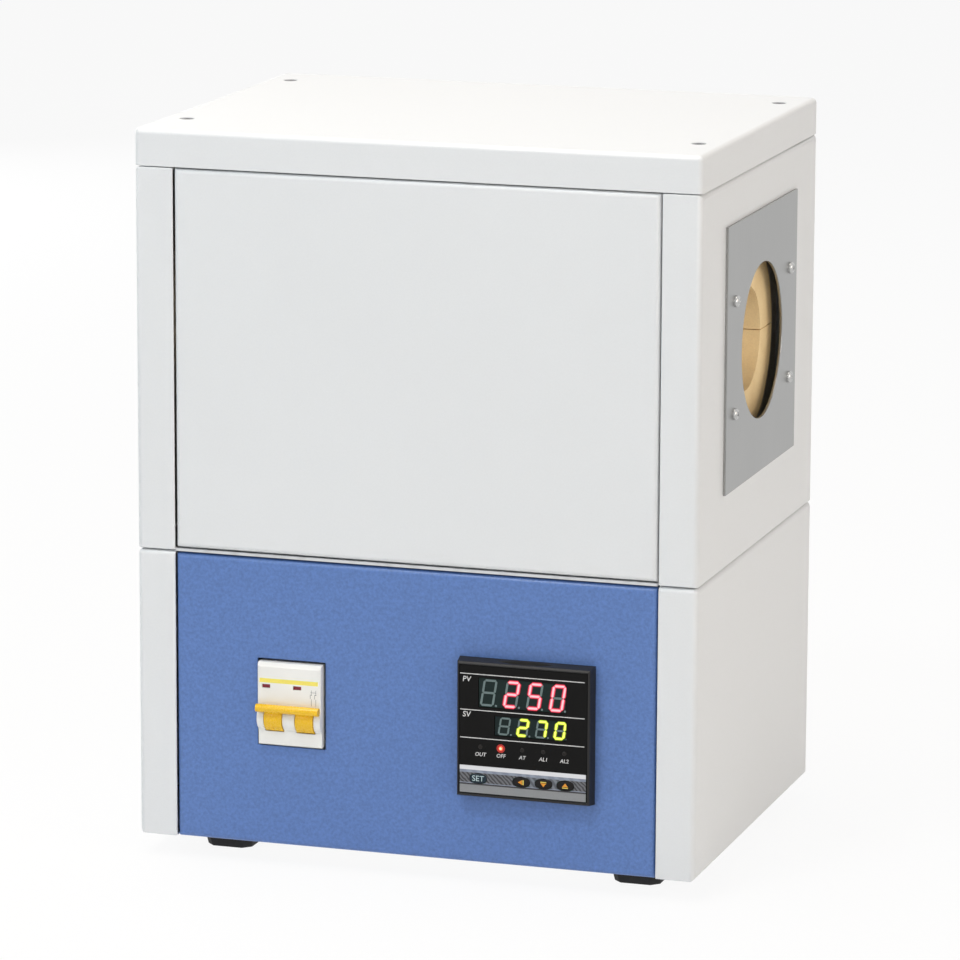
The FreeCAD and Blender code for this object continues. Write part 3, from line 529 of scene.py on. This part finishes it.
def all_screws():
    both = (-1, 1)
    screws("bore_plate_screw_heads", "bore_plate_screws",
           [((sx * (X_SIDE + PLATE_THICKNESS), Y_MID + sy * PLATE_SCREW_Y,
              Z_AXIS + sz * PLATE_SCREW_Z), (sx, 0, 0))
            for sx in both for sy in both for sz in both],
           PLATE_HEAD, "bright_screws")
    cover_rows = (Y_FRONT + COVER_SCREW_FROM_FRONT, Y_REAR - COVER_SCREW_FROM_REAR)
    screws("cover_screw_heads", "cover_screws",
           [((sx * COVER_SCREW_X, y, COVER_SCREW_SEAT), (0, 0, 1))
            for sx in both for y in cover_rows],
           COVER_HEAD, "dark_screws", sunk=True)
    screws("rear_screw_heads", "rear_cover_screws",
           [((sx * REAR_SCREW_X, Y_REAR + REAR_THICKNESS, z), (0, 1, 0)) for sx in both
            for z in REAR_SCREW_HEIGHTS],
           REAR_HEAD, "bright_screws")
    inlet = centre_of("inlet_screws")
    inlet_seat = corners("inlet_screws")[0].y
    screws("inlet_screw_heads", "inlet_screws",
           [((inlet.x + sx * INLET_SCREW_X, inlet_seat, inlet.z), (0, 1, 0)) for sx in both],
           INLET_HEAD, "bright_screws")


# Heating coils in the grooves of the heater

ROD_RADIUS, ELEMENT_END = 35.1, 116.35
COIL_RADIUS, WIRE_RADIUS, COIL_PITCH = 1.6, 0.55, 3.4
TAIL_END, TAIL_BEND = 109.0, 6
LOOP_REACH, LOOP_STEPS = 2.2, 8
TURN_STEPS, WIRE_SIDES = 10, 6
GROOVE_ANGLES = (36.0, 72.0, 108.0, 144.0)


def on_circle(x, angle, side):
    a = math.radians(angle)
    return Vector((x, Y_MID + ROD_RADIUS * math.cos(a), Z_AXIS + side * ROD_RADIUS * math.sin(a)))


def heating_coil(side, name):
    steps = round(2 * ELEMENT_END / COIL_PITCH) * TURN_STEPS
    tail = on_circle(-ELEMENT_END - 1, GROOVE_ANGLES[0], side)
    points = [Vector((tail.x, Y_MID + TAIL_END, tail.z)),
              Vector((tail.x, tail.y + TAIL_BEND, tail.z))]
    for index, angle in enumerate(GROOVE_ANGLES):
        way = 1 if index % 2 == 0 else -1
        centre = on_circle(0, angle, side)
        out = (centre - Vector((0, Y_MID, Z_AXIS))).normalized()
        across = out.cross(Vector((1, 0, 0)))
        for k in range(steps + 1):
            a = 2 * math.pi * k / TURN_STEPS
            x = way * ELEMENT_END * (2 * k / steps - 1)
            points.append(Vector((x, centre.y, centre.z))
                          + (out * math.cos(a) + across * math.sin(a)) * COIL_RADIUS)
        if index + 1 < len(GROOVE_ANGLES):
            for step in range(1, LOOP_STEPS):
                turned = angle + (GROOVE_ANGLES[index + 1] - angle) * step / LOOP_STEPS
                points.append(on_circle(way * (ELEMENT_END + LOOP_REACH), turned, side))
    points += [Vector((tail.x, 2 * Y_MID - tail.y - TAIL_BEND, tail.z)),
               Vector((tail.x, Y_MID - TAIL_END, tail.z))]
    bm = bmesh.new()
    tube(bm, points, WIRE_RADIUS, WIRE_SIDES)
    mesh = finish_mesh(bm, "heating_coil_" + name, WIRE_SMOOTH)
    obj = new_object("heating_coil_" + name, mesh, MATERIALS["heating_alloy"])
    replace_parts(obj, "heating_element_" + name)


# Controller face

PRINT_DEPTH = 0.06
# Height of a capital letter as a share of the font's size
CAPITAL_SHARE = 0.7
SLANT = 0.16
UNLIT_STROKE, UNLIT_DEPTH = 0.8, 0.04
LIT_LAYERS, LAYER_DEPTH = (0.52, 0.1, -0.22), 0.03
WINDOW_DEPTH = 0.3
POINT_SIDES, POINT_SHARE, POINT_GAP, POINT_RISE, POINT_DEPTH = 12, 0.42, 1.35, 0.5, 0.05
# Each display's digit places, level, digit width, digit height and stroke
UPPER_ROW = (-18.9, -6.3, 6.3, 18.9), 20.35, 7.6, 14.5, 1.45
LOWER_ROW = (-10.2, -0.05, 10.1, 20.25), 2.95, 6.0, 9.6, 1.2
SEGMENTS = {"0": "abcdef", "2": "abdeg", "5": "acdfg", "7": "abc", " ": ""}


def face_point(x, z, lift=0.0, plane=Y_FACE):
    return (CONTROLLER_X + x, plane - lift, CONTROLLER_Z + z)


def face_patch(bm, outline, material, lift=0.0, depth=PRINT_DEPTH, plane=Y_FACE):
    """A thin prism on the controller's face."""
    prism(bm, [face_point(x, z, lift, plane) for x, z in outline], (0, -depth, 0), material)


def rectangle(x0, x1, z0, z1):
    return [(x0, z0), (x1, z0), (x1, z1), (x0, z1)]


def disc(x, z, radius, count=28):
    return [(x + radius * math.cos(2 * math.pi * k / count),
             z + radius * math.sin(2 * math.pi * k / count)) for k in range(count)]


def segment_outlines(x, z, width, height, stroke, grow=0.0):
    """The seven hexagons of a slanted digit, by letter."""
    half_w, half_h, t = (width - stroke) / 2, (height - stroke) / 2, stroke / 2 + grow
    gap = 0.06 * stroke - grow
    found = {}
    for letter, level in (("a", 1), ("g", 0), ("d", -1)):
        y, a, b = level * half_h, -half_w + gap, half_w - gap
        found[letter] = [(a, y), (a + t, y + t), (b - t, y + t), (b, y), (b - t, y - t),
                         (a + t, y - t)]
    for letter, sx, level in (("b", 1, 1), ("c", 1, -1), ("f", -1, 1), ("e", -1, -1)):
        c, a, b = sx * half_w, gap, half_h - gap
        if level < 0:
            a, b = -half_h + gap, -gap
        found[letter] = [(c, a), (c + t, a + t), (c + t, b - t), (c, b), (c - t, b - t),
                         (c - t, a + t)]
    return {letter: [(x + px + SLANT * pz, z + pz) for px, pz in points]
            for letter, points in found.items()}


def digits(name, text, places, z, width, height, stroke, slot, lit):
    """A row of slanted digits, lit in three layers, with their unlit segments and points."""
    bm = bmesh.new()
    plane = Y_FACE + WINDOW_DEPTH
    for x, mark in zip(places, text):
        unlit = segment_outlines(x, z, width, height, stroke * UNLIT_STROKE)
        layers = [segment_outlines(x, z, width, height, stroke, grow) for grow in LIT_LAYERS]
        for letter in unlit:
            if letter in SEGMENTS[mark]:
                for index, layer in enumerate(layers):
                    face_patch(bm, layer[letter], 1 + index, LAYER_DEPTH * index, LAYER_DEPTH,
                               plane)
            else:
                face_patch(bm, unlit[letter], 0, 0.0, UNLIT_DEPTH, plane)
        point_x = x + width / 2 + POINT_GAP - SLANT * height / 2
        point_z = z - height / 2 + POINT_RISE
        face_patch(bm, disc(point_x, point_z, stroke * POINT_SHARE, POINT_SIDES), 0, LAYER_DEPTH,
                   POINT_DEPTH, plane)
    mesh = finish_mesh(bm, name)
    new_object(name, mesh, [PRINTS["unlit"]] + lit)


PRINTS = {
    "white": printed("white_print", (0.72, 0.72, 0.72)),
    "silver": brushed("silver_print", (0.72, 0.72, 0.74), 0.42, "x", 0.05),
    "haze": hatched("blue_grey_band", (0.30, 0.34, 0.42), (0.24, 0.27, 0.34), 0.006),
    "grey": hatched("key_band", (0.20, 0.22, 0.25), (0.10, 0.11, 0.13), 0.0042),
    "hatch": hatched("hatched_key_band", (0.16, 0.165, 0.18), (0.055, 0.055, 0.06), 0.0024),
    "pale_grey": printed("lower_band", (0.27, 0.28, 0.29)),
    "dark": printed("dark_line", (0.035, 0.035, 0.04)),
    "unlit": printed("unlit_segment", (0.14, 0.20, 0.20), 0.35),
    "orange": printed("orange_print", (0.85, 0.33, 0.02)),
    "yellow": printed("yellow_print", (0.88, 0.68, 0.12)),
    "pale_yellow": printed("pale_yellow_print", (1.0, 0.87, 0.16)),
    "teal": printed("teal_print", (0.50, 0.64, 0.66)),
    "ink": printed("grey_ink", (0.3, 0.31, 0.33)),
}
RED_DIGITS = [glowing("red_segment_haze", (0.45, 0.008, 0.03), 0.6),
              glowing("red_segment_edge", (1.0, 0.07, 0.14), 1.0),
              glowing("red_segment_core", (1.0, 0.42, 0.46), 1.1)]
GREEN_DIGITS = [glowing("green_segment_haze", (0.13, 0.17, 0.004), 0.6),
                glowing("green_segment_edge", (0.62, 0.80, 0.02), 1.0),
                glowing("green_segment_core", (0.86, 1.0, 0.16), 1.1)]
LAMP_LIGHTS = [glowing("lamp_haze", (0.42, 0.012, 0.006), 0.6),
               glowing("lit_lamp", (0.95, 0.10, 0.03), 1.0),
               glowing("lit_lamp_core", (1.0, 0.55, 0.32), 1.3)]
SET_KEY = plastic("dark_teal_key_rubber", (0.006, 0.02, 0.032), 0.4, 1300.0, 0.00003, shine=0.3)


def lettering(name, words, plane, material, body="furnace"):
    """Words as thin solid letters on the controller, each (text, x, z, height, bold, lean)."""
    bm = bmesh.new()
    stand = Matrix.Rotation(math.pi / 2, 4, "X")
    for text, x, z, height, bold, lean in words:
        curve = bpy.data.curves.new("word", "FONT")
        curve.body = text
        curve.size = height / CAPITAL_SHARE
        curve.offset = bold
        curve.shear = lean
        curve.align_x, curve.align_y = "CENTER", "CENTER"
        curve.extrude = PRINT_DEPTH / 2
        curve.resolution_u = 3
        mesh = evaluated(temporary(curve))
        before = set(bm.verts)
        bm.from_mesh(mesh)
        place = Matrix.Translation(Vector((CONTROLLER_X + x, plane - PRINT_DEPTH / 2,
                                           CONTROLLER_Z + z)))
        bmesh.ops.transform(bm, matrix=place @ stand,
                            verts=[v for v in bm.verts if v not in before])
        bpy.data.meshes.remove(mesh)
    new_object(name, finish_mesh(bm, name), material, body)


LAMP_PLACES = (-23.3, -12.05, -0.3, 11.2, 22.7)
LAMP_RISE = -9.1
KEY_NAMES = ("set", "shift", "down", "up")
KEY_PLACES = {key: centre_of("key_" + key).x - CONTROLLER_X for key in KEY_NAMES}
KEY_RISE = centre_of("key_set").z - CONTROLLER_Z
KEY_HALF_WIDTH, KEY_HALF_HEIGHT, KEY_SQUARENESS = 4.55, 2.5, 2.6
KEY_MARGIN = 0.3
BAND_END, BAND_DEPTH = 34.6, 0.12
RULE_LEVELS, RULE_START, RULE_END, RULE_HALF = (30.0, 10.6, -4.5), -34.5, 33.6, 0.22
# Lowest and highest level of each band, from the silver one down
SILVER_BAND, UPPER_HAZE, KEY_BAND = (-21.8, -19.5), (-23.3, -21.8), (-28.65, -23.3)
LOWER_HAZE, DARK_BAND, LOWER_BAND = (-29.05, -28.65), (-29.9, -29.05), (-34.2, -29.9)
BAND_COLOURS = ["silver", "haze", "hatch", "grey", "dark", "pale_grey", "white"]
SILVER, HAZE, HATCH, GREY, DARK, PALE_GREY, WHITE_RULE = range(len(BAND_COLOURS))
# Words beside the displays and under the lamps
DISPLAY_WORDS, DISPLAY_WORD_X = (("PV", 27.0), ("SV", 8.0)), -31.0
LAMP_WORDS, LAMP_WORD_LEVEL = ("OUT", "OFF", "AT", "AL1", "AL2"), -13.2
# Height, boldness and lean of the letters
DISPLAY_FONT, LAMP_FONT, KEY_FONT = (2.9, 0.03, 0.1), (2.0, 0.03, 0.18), (3.0, 0.01, 0.0)


def key_half_width(z):
    # How far the oval round a key reaches to each side at a height
    share = abs(z - KEY_RISE) / (KEY_HALF_HEIGHT + KEY_MARGIN)
    if share >= 1:
        return 0.0
    return (KEY_HALF_WIDTH + KEY_MARGIN) * (1 - share ** KEY_SQUARENESS) ** (1 / KEY_SQUARENESS)


def key_band(bm, low, high, colours, steps=16):
    """A band in pieces between the oval keys, so that it isn't under them."""
    levels = [low + (high - low) * k / steps for k in range(steps + 1)]
    edges = [-BAND_END] + list(KEY_PLACES.values()) + [BAND_END]
    for index, (left, right) in enumerate(zip(edges, edges[1:])):
        left_side = [(left + (key_half_width(z) if index else 0.0), z) for z in levels]
        right_side = [(right - (key_half_width(z) if right < BAND_END else 0.0), z) for z in levels]
        face_patch(bm, left_side + right_side[::-1], colours[index])


def controller_print():
    bm = bmesh.new()
    for z in RULE_LEVELS:
        face_patch(bm, rectangle(RULE_START, RULE_END, z - RULE_HALF, z + RULE_HALF), WHITE_RULE)
    face_patch(bm, rectangle(-BAND_END, BAND_END, *SILVER_BAND), SILVER, 0.0, BAND_DEPTH)
    key_band(bm, *UPPER_HAZE, [HAZE] * 5, 1)
    key_band(bm, *KEY_BAND, [HATCH, HATCH, GREY, GREY, HATCH])
    key_band(bm, *LOWER_HAZE, [HAZE] * 5, 4)
    key_band(bm, *DARK_BAND, [DARK] * 5, 4)
    face_patch(bm, rectangle(-BAND_END, BAND_END, *LOWER_BAND), PALE_GREY)
    mesh = finish_mesh(bm, "controller_bands")
    new_object("controller_bands", mesh, [PRINTS[c] for c in BAND_COLOURS])
    words = [(word, DISPLAY_WORD_X, z, *DISPLAY_FONT) for word, z in DISPLAY_WORDS]
    words += [(word, x, LAMP_WORD_LEVEL, *LAMP_FONT) for word, x in zip(LAMP_WORDS, LAMP_PLACES)]
    lettering("controller_lettering", words, Y_FACE, PRINTS["white"])


LENS_RADIUS, RIM_RADIUS, HALO_RADIUS, CORE_RADIUS = 1.2, 1.62, 2.3, 0.75
# Share of the radius and lift from the face, along a lens
LENS_PROFILE = ((1.0, -0.6), (1.0, 0.06), (0.8, 0.26), (0.4, 0.36))
LIT_LAMP = 1
LENS, RIM, HALO, LIT_LENS, LIT_CORE = range(5)
# Lift from the face and thickness of the flat pieces
RIM_LAYER, HALO_LAYER, CORE_LAYER = (0.0, 0.03), (0.03, 0.02), (0.34, 0.04)


def lamps():
    """Small domed lenses, each with a flat rim over its hole, one of them lit."""
    bm = bmesh.new()
    for index, x in enumerate(LAMP_PLACES):
        lit = index == LIT_LAMP
        rings = [[face_point(px, pz, lift) for px, pz in disc(x, LAMP_RISE, LENS_RADIUS * share)]
                 for share, lift in LENS_PROFILE]
        stacked(bm, rings, LIT_LENS if lit else LENS)
        face_patch(bm, disc(x, LAMP_RISE, RIM_RADIUS), RIM, *RIM_LAYER)
        if lit:
            face_patch(bm, disc(x, LAMP_RISE, HALO_RADIUS), HALO, *HALO_LAYER)
            face_patch(bm, disc(x, LAMP_RISE, CORE_RADIUS), LIT_CORE, *CORE_LAYER)
    mesh = finish_mesh(bm, "lamp_lenses", CAP_SMOOTH)
    obj = new_object("lamp_lenses", mesh,
                     [MATERIALS["lamp_red"], MATERIALS["face_film"]] + LAMP_LIGHTS)
    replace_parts(obj, "indicator_lamps")


KEY_PROUD, SYMBOL_DEPTH = 0.4, 0.04
# Share of the outline and depth behind the cap's front, along a key cap
CAP_PROFILE = ((1.0, 1.6), (1.0, 0.3), (0.96, 0.12), (0.86, 0.0))
# An orange and a yellow shape on three of the keys, round the key's middle
SYMBOLS = {
    "shift": ([(-1.7, 0.0), (0.5, 1.3), (0.5, -1.3)], rectangle(0.8, 1.4, -1.3, 1.3)),
    "down": ([(0.0, -1.5), (1.6, 0.5), (-1.6, 0.5)], rectangle(-1.6, 1.6, 0.8, 1.3)),
    "up": ([(0.0, 1.5), (-1.6, -0.5), (1.6, -0.5)], rectangle(-1.6, 1.6, -1.3, -0.8)),
}


def key_piece(name, x):
    """An oval key cap with its printed symbol, on the key's own body."""
    bm = bmesh.new()
    front = Y_FACE - KEY_PROUD
    rings = []
    for share, back in CAP_PROFILE:
        rings.append([face_point(x + px * share, KEY_RISE + pz * share, -back, front)
                      for px, pz in oval(KEY_HALF_WIDTH, KEY_HALF_HEIGHT, KEY_SQUARENESS)])
    stacked(bm, rings)
    for material, outline in enumerate(SYMBOLS.get(name, ()), 1):
        face_patch(bm, [(x + px, KEY_RISE + pz) for px, pz in outline], material, 0.0,
                   SYMBOL_DEPTH, front)
    body = "key_" + name
    cap = SET_KEY if name == "set" else MATERIALS["key_plastic"]
    obj = new_object(body + "_cap", finish_mesh(bm, body + "_cap", CAP_SMOOTH),
                     [cap, PRINTS["orange"], PRINTS["yellow"]], body)
    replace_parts(obj, body)
    if name == "set":
        lettering("key_set_lettering", [("SET", x, KEY_RISE, *KEY_FONT)], front, PRINTS["teal"],
                  body)


def controller():
    controller_print()
    digits("digits_upper", " 250", *UPPER_ROW, "display_red", RED_DIGITS)
    digits("digits_lower", " 270", *LOWER_ROW, "display_green", GREEN_DIGITS)
    lamps()
    for name, x in KEY_PLACES.items():
        key_piece(name, x)


# Circuit breaker

YELLOW_PAINT, DARK_INK, PALE_INK = range(3)
# Left, right, low and high edges, measured from the pole for the lines that each pole has
STRIPE, LINK = (-16.6, 16.3, 11.7, 14.0), (12.1, 15.3, 7.9, 8.1)
POLES = (12.6, 15.1)
POLE_LINES = (
    ((-0.1, 0.1, 0.6, 4.4), PALE_INK), ((-0.1, 0.1, 6.6, 9.3), DARK_INK),
    ((-0.75, 0.35, 6.55, 6.85), DARK_INK), ((-0.75, -0.5, 4.6, 6.6), DARK_INK),
)


def breaker_print():
    """The yellow stripe and a plain two-pole diagram, without words."""
    bm = bmesh.new()

    def patch(x0, x1, z0, z1, material):
        points = [(BREAKER_X + x, Y_NOSE, BREAKER_Z + z) for x, z in rectangle(x0, x1, z0, z1)]
        prism(bm, points, (0, -PRINT_DEPTH, 0), material)

    patch(*STRIPE, YELLOW_PAINT)
    for x in POLES:
        for (left, right, low, high), ink in POLE_LINES:
            patch(x + left, x + right, low, high, ink)
    patch(*LINK, DARK_INK)
    mesh = finish_mesh(bm, "breaker_print")
    new_object("breaker_print", mesh, [PRINTS["pale_yellow"], PRINTS["ink"], PRINTS["pale_grey"]])


# Rounding of sharp edges in millimetres, and the steps it takes
ROUNDED = {
    "breaker_housing": (0.35, 2), "breaker_tie_bar": (0.6, 3), "controller_bezel": (0.3, 2),
    "mains_inlet": (0.5, 2), "upper_front_panel": (0.6, 2), "control_panel": (0.6, 2),
}
ROUNDED_PAIRS = {
    "breaker_lever_": (0.25, 2), "bore_plate_": (0.2, 2), "upper_side_": (0.6, 2),
    "lower_side_": (0.6, 2), "foot_front_": (0.9, 3), "foot_rear_": (0.9, 3),
}
SHARP_ANGLE = math.radians(35)
WELD_DISTANCE = 0.000002


def soften_edges():
    """Rounds the sharp edges of CAD nodes for the render, without touching their meshes."""
    edges = dict(ROUNDED)
    for name, size in ROUNDED_PAIRS.items():
        for side in ("left", "right"):
            edges[name + side] = size
    for name, (width, steps) in edges.items():
        weld = nodes[name].modifiers.new("weld", "WELD")
        weld.merge_threshold = WELD_DISTANCE
        bevel = nodes[name].modifiers.new("bevel", "BEVEL")
        bevel.width = width / 1000
        bevel.segments = steps
        bevel.limit_method = "ANGLE"
        bevel.angle_limit = SHARP_ANGLE
        bevel.use_clamp_overlap = True


# Stage and light

STAGE_HALF = 6.0
FLOOR_GLOW = 0.91
WORLD_LEVEL = 0.27
SEEN_SKY = (1.0, 1.0, 1.0, 1.0)
COOL_SKY = (0.93, 0.975, 1.02, 1.0)
WARM_SKY = (1.03, 0.965, 0.85, 1.0)
# Each light's name, place and target in metres, size, watts and colour
AREA_LIGHTS = [
    ("above", (-0.3, -0.2, 2.1), (0, 0, 0.3), (1.4, 1.2), 20.8, (1.0, 0.91, 0.80)),
    ("above_front", (-0.35, -1.3, 1.9), (0, 0, 0.3), (0.5, 0.35), 12.0, (0.98, 0.99, 1.0)),
    ("front_left", (-1.3, -2.2, 1.5), (0, 0, 0.2), (0.9, 0.9), 7.0, (0.74, 0.90, 1.0)),
    ("front_right", (1.5, -2.1, 0.9), (0, 0, 0.25), (0.8, 0.8), 4.5, (0.96, 0.96, 0.93)),
    ("right", (2.3, -0.8, 1.1), (0, 0, 0.2), (1.2, 1.2), 14.2, (1.0, 0.86, 0.73)),
    ("behind_left", (-1.6, 1.9, 0.7), (0, 0, 0.25), (1.0, 1.0), 12.0, (0.98, 0.99, 1.0)),
]
BORE_LIGHT_PLACE, BORE_LIGHT_WATTS = (1.28, -2.13, 0.98), 65.0
BORE_LIGHT_CONE, BORE_LIGHT_EDGE, BORE_LIGHT_RADIUS = math.radians(1.35), 0.6, 0.02
BORE_LIGHT_COLOUR = (1.0, 0.97, 0.92)
BORE_LIGHT_OFFSET = (0.0, 8.0, -4.0)


def seen_share(tree):
    """1 for what the camera sees, also in a reflection or through glass, and 0 for the rest."""
    rays = tree.nodes.new("ShaderNodeLightPath")
    value = rays.outputs["Is Camera Ray"]
    for name in ("Is Glossy Ray", "Is Transmission Ray"):
        either = tree.nodes.new("ShaderNodeMath")
        either.operation = "MAXIMUM"
        tree.links.new(value, either.inputs[0])
        tree.links.new(rays.outputs[name], either.inputs[1])
        value = either.outputs["Value"]
    return value


def floor():
    half = STAGE_HALF
    mesh = bpy.data.meshes.new("floor")
    mesh.from_pydata([(-half, -half, 0), (half, -half, 0), (half, half, 0), (-half, half, 0)],
                     [], [(0, 1, 2, 3)])
    obj = bpy.data.objects.new("floor", mesh)
    bpy.context.scene.collection.objects.link(obj)
    s = Shader("pale_floor", (0.9, 0.9, 0.9), 0.8)
    glow = s.add("ShaderNodeEmission")
    blend = s.add("ShaderNodeMixShader")
    s.link(between(s.tree, seen_share(s.tree), 0.0, FLOOR_GLOW), blend, "Fac")
    s.tree.links.new(s.shader.outputs["BSDF"], blend.inputs[1])
    s.tree.links.new(glow.outputs["Emission"], blend.inputs[2])
    s.tree.links.new(blend.outputs["Shader"], s.tree.nodes["Material Output"].inputs["Surface"])
    mesh.materials.append(s.material)


def add_light(name, kind, place, target, power, colour):
    """A light turned to its target, with its data to set further."""
    data = bpy.data.lights.new(name, kind)
    data.energy = power
    data.color = colour
    obj = bpy.data.objects.new(name, data)
    bpy.context.scene.collection.objects.link(obj)
    obj.location = place
    obj.rotation_euler = (Vector(target) - Vector(place)).to_track_quat("-Z", "Y").to_euler()
    return data


def area_light(name, place, target, size, power, colour):
    data = add_light(name, "AREA", place, target, power, colour)
    data.shape = "RECTANGLE"
    data.size, data.size_y = size


def bore_light():
    # A narrow light from the front right that reaches into the bore
    target = (Vector((X_SIDE, Y_MID, Z_AXIS)) + Vector(BORE_LIGHT_OFFSET)) / 1000
    data = add_light("bore", "SPOT", BORE_LIGHT_PLACE, target, BORE_LIGHT_WATTS, BORE_LIGHT_COLOUR)
    data.spot_size, data.spot_blend = BORE_LIGHT_CONE, BORE_LIGHT_EDGE
    data.shadow_soft_size = BORE_LIGHT_RADIUS


def sky():
    """White where it is seen. As a light it is cool, and warmer from the right."""
    world = bpy.data.worlds.new("world")
    bpy.context.scene.world = world
    world.use_nodes = True
    tree = world.node_tree
    background = tree.nodes["Background"]
    seen = seen_share(tree)
    way = tree.nodes.new("ShaderNodeTexCoord")
    parts = tree.nodes.new("ShaderNodeSeparateXYZ")
    tree.links.new(way.outputs["Generated"], parts.inputs["Vector"])
    tint = mixed(tree, parts.outputs["X"], COOL_SKY, WARM_SKY)
    shown = mixed(tree, seen, tint, SEEN_SKY)
    tree.links.new(shown, background.inputs["Color"])
    tree.links.new(between(tree, seen, WORLD_LEVEL, 1.0), background.inputs["Strength"])


def lighting():
    sky()
    for light in AREA_LIGHTS:
        area_light(*light)
    bore_light()


camera()
floor()
lighting()
all_screws()
heating_coil(1, "upper")
heating_coil(-1, "lower")
controller()
breaker_print()
soften_edges()

scene = bpy.context.scene
scene.view_settings.view_transform = "Standard"
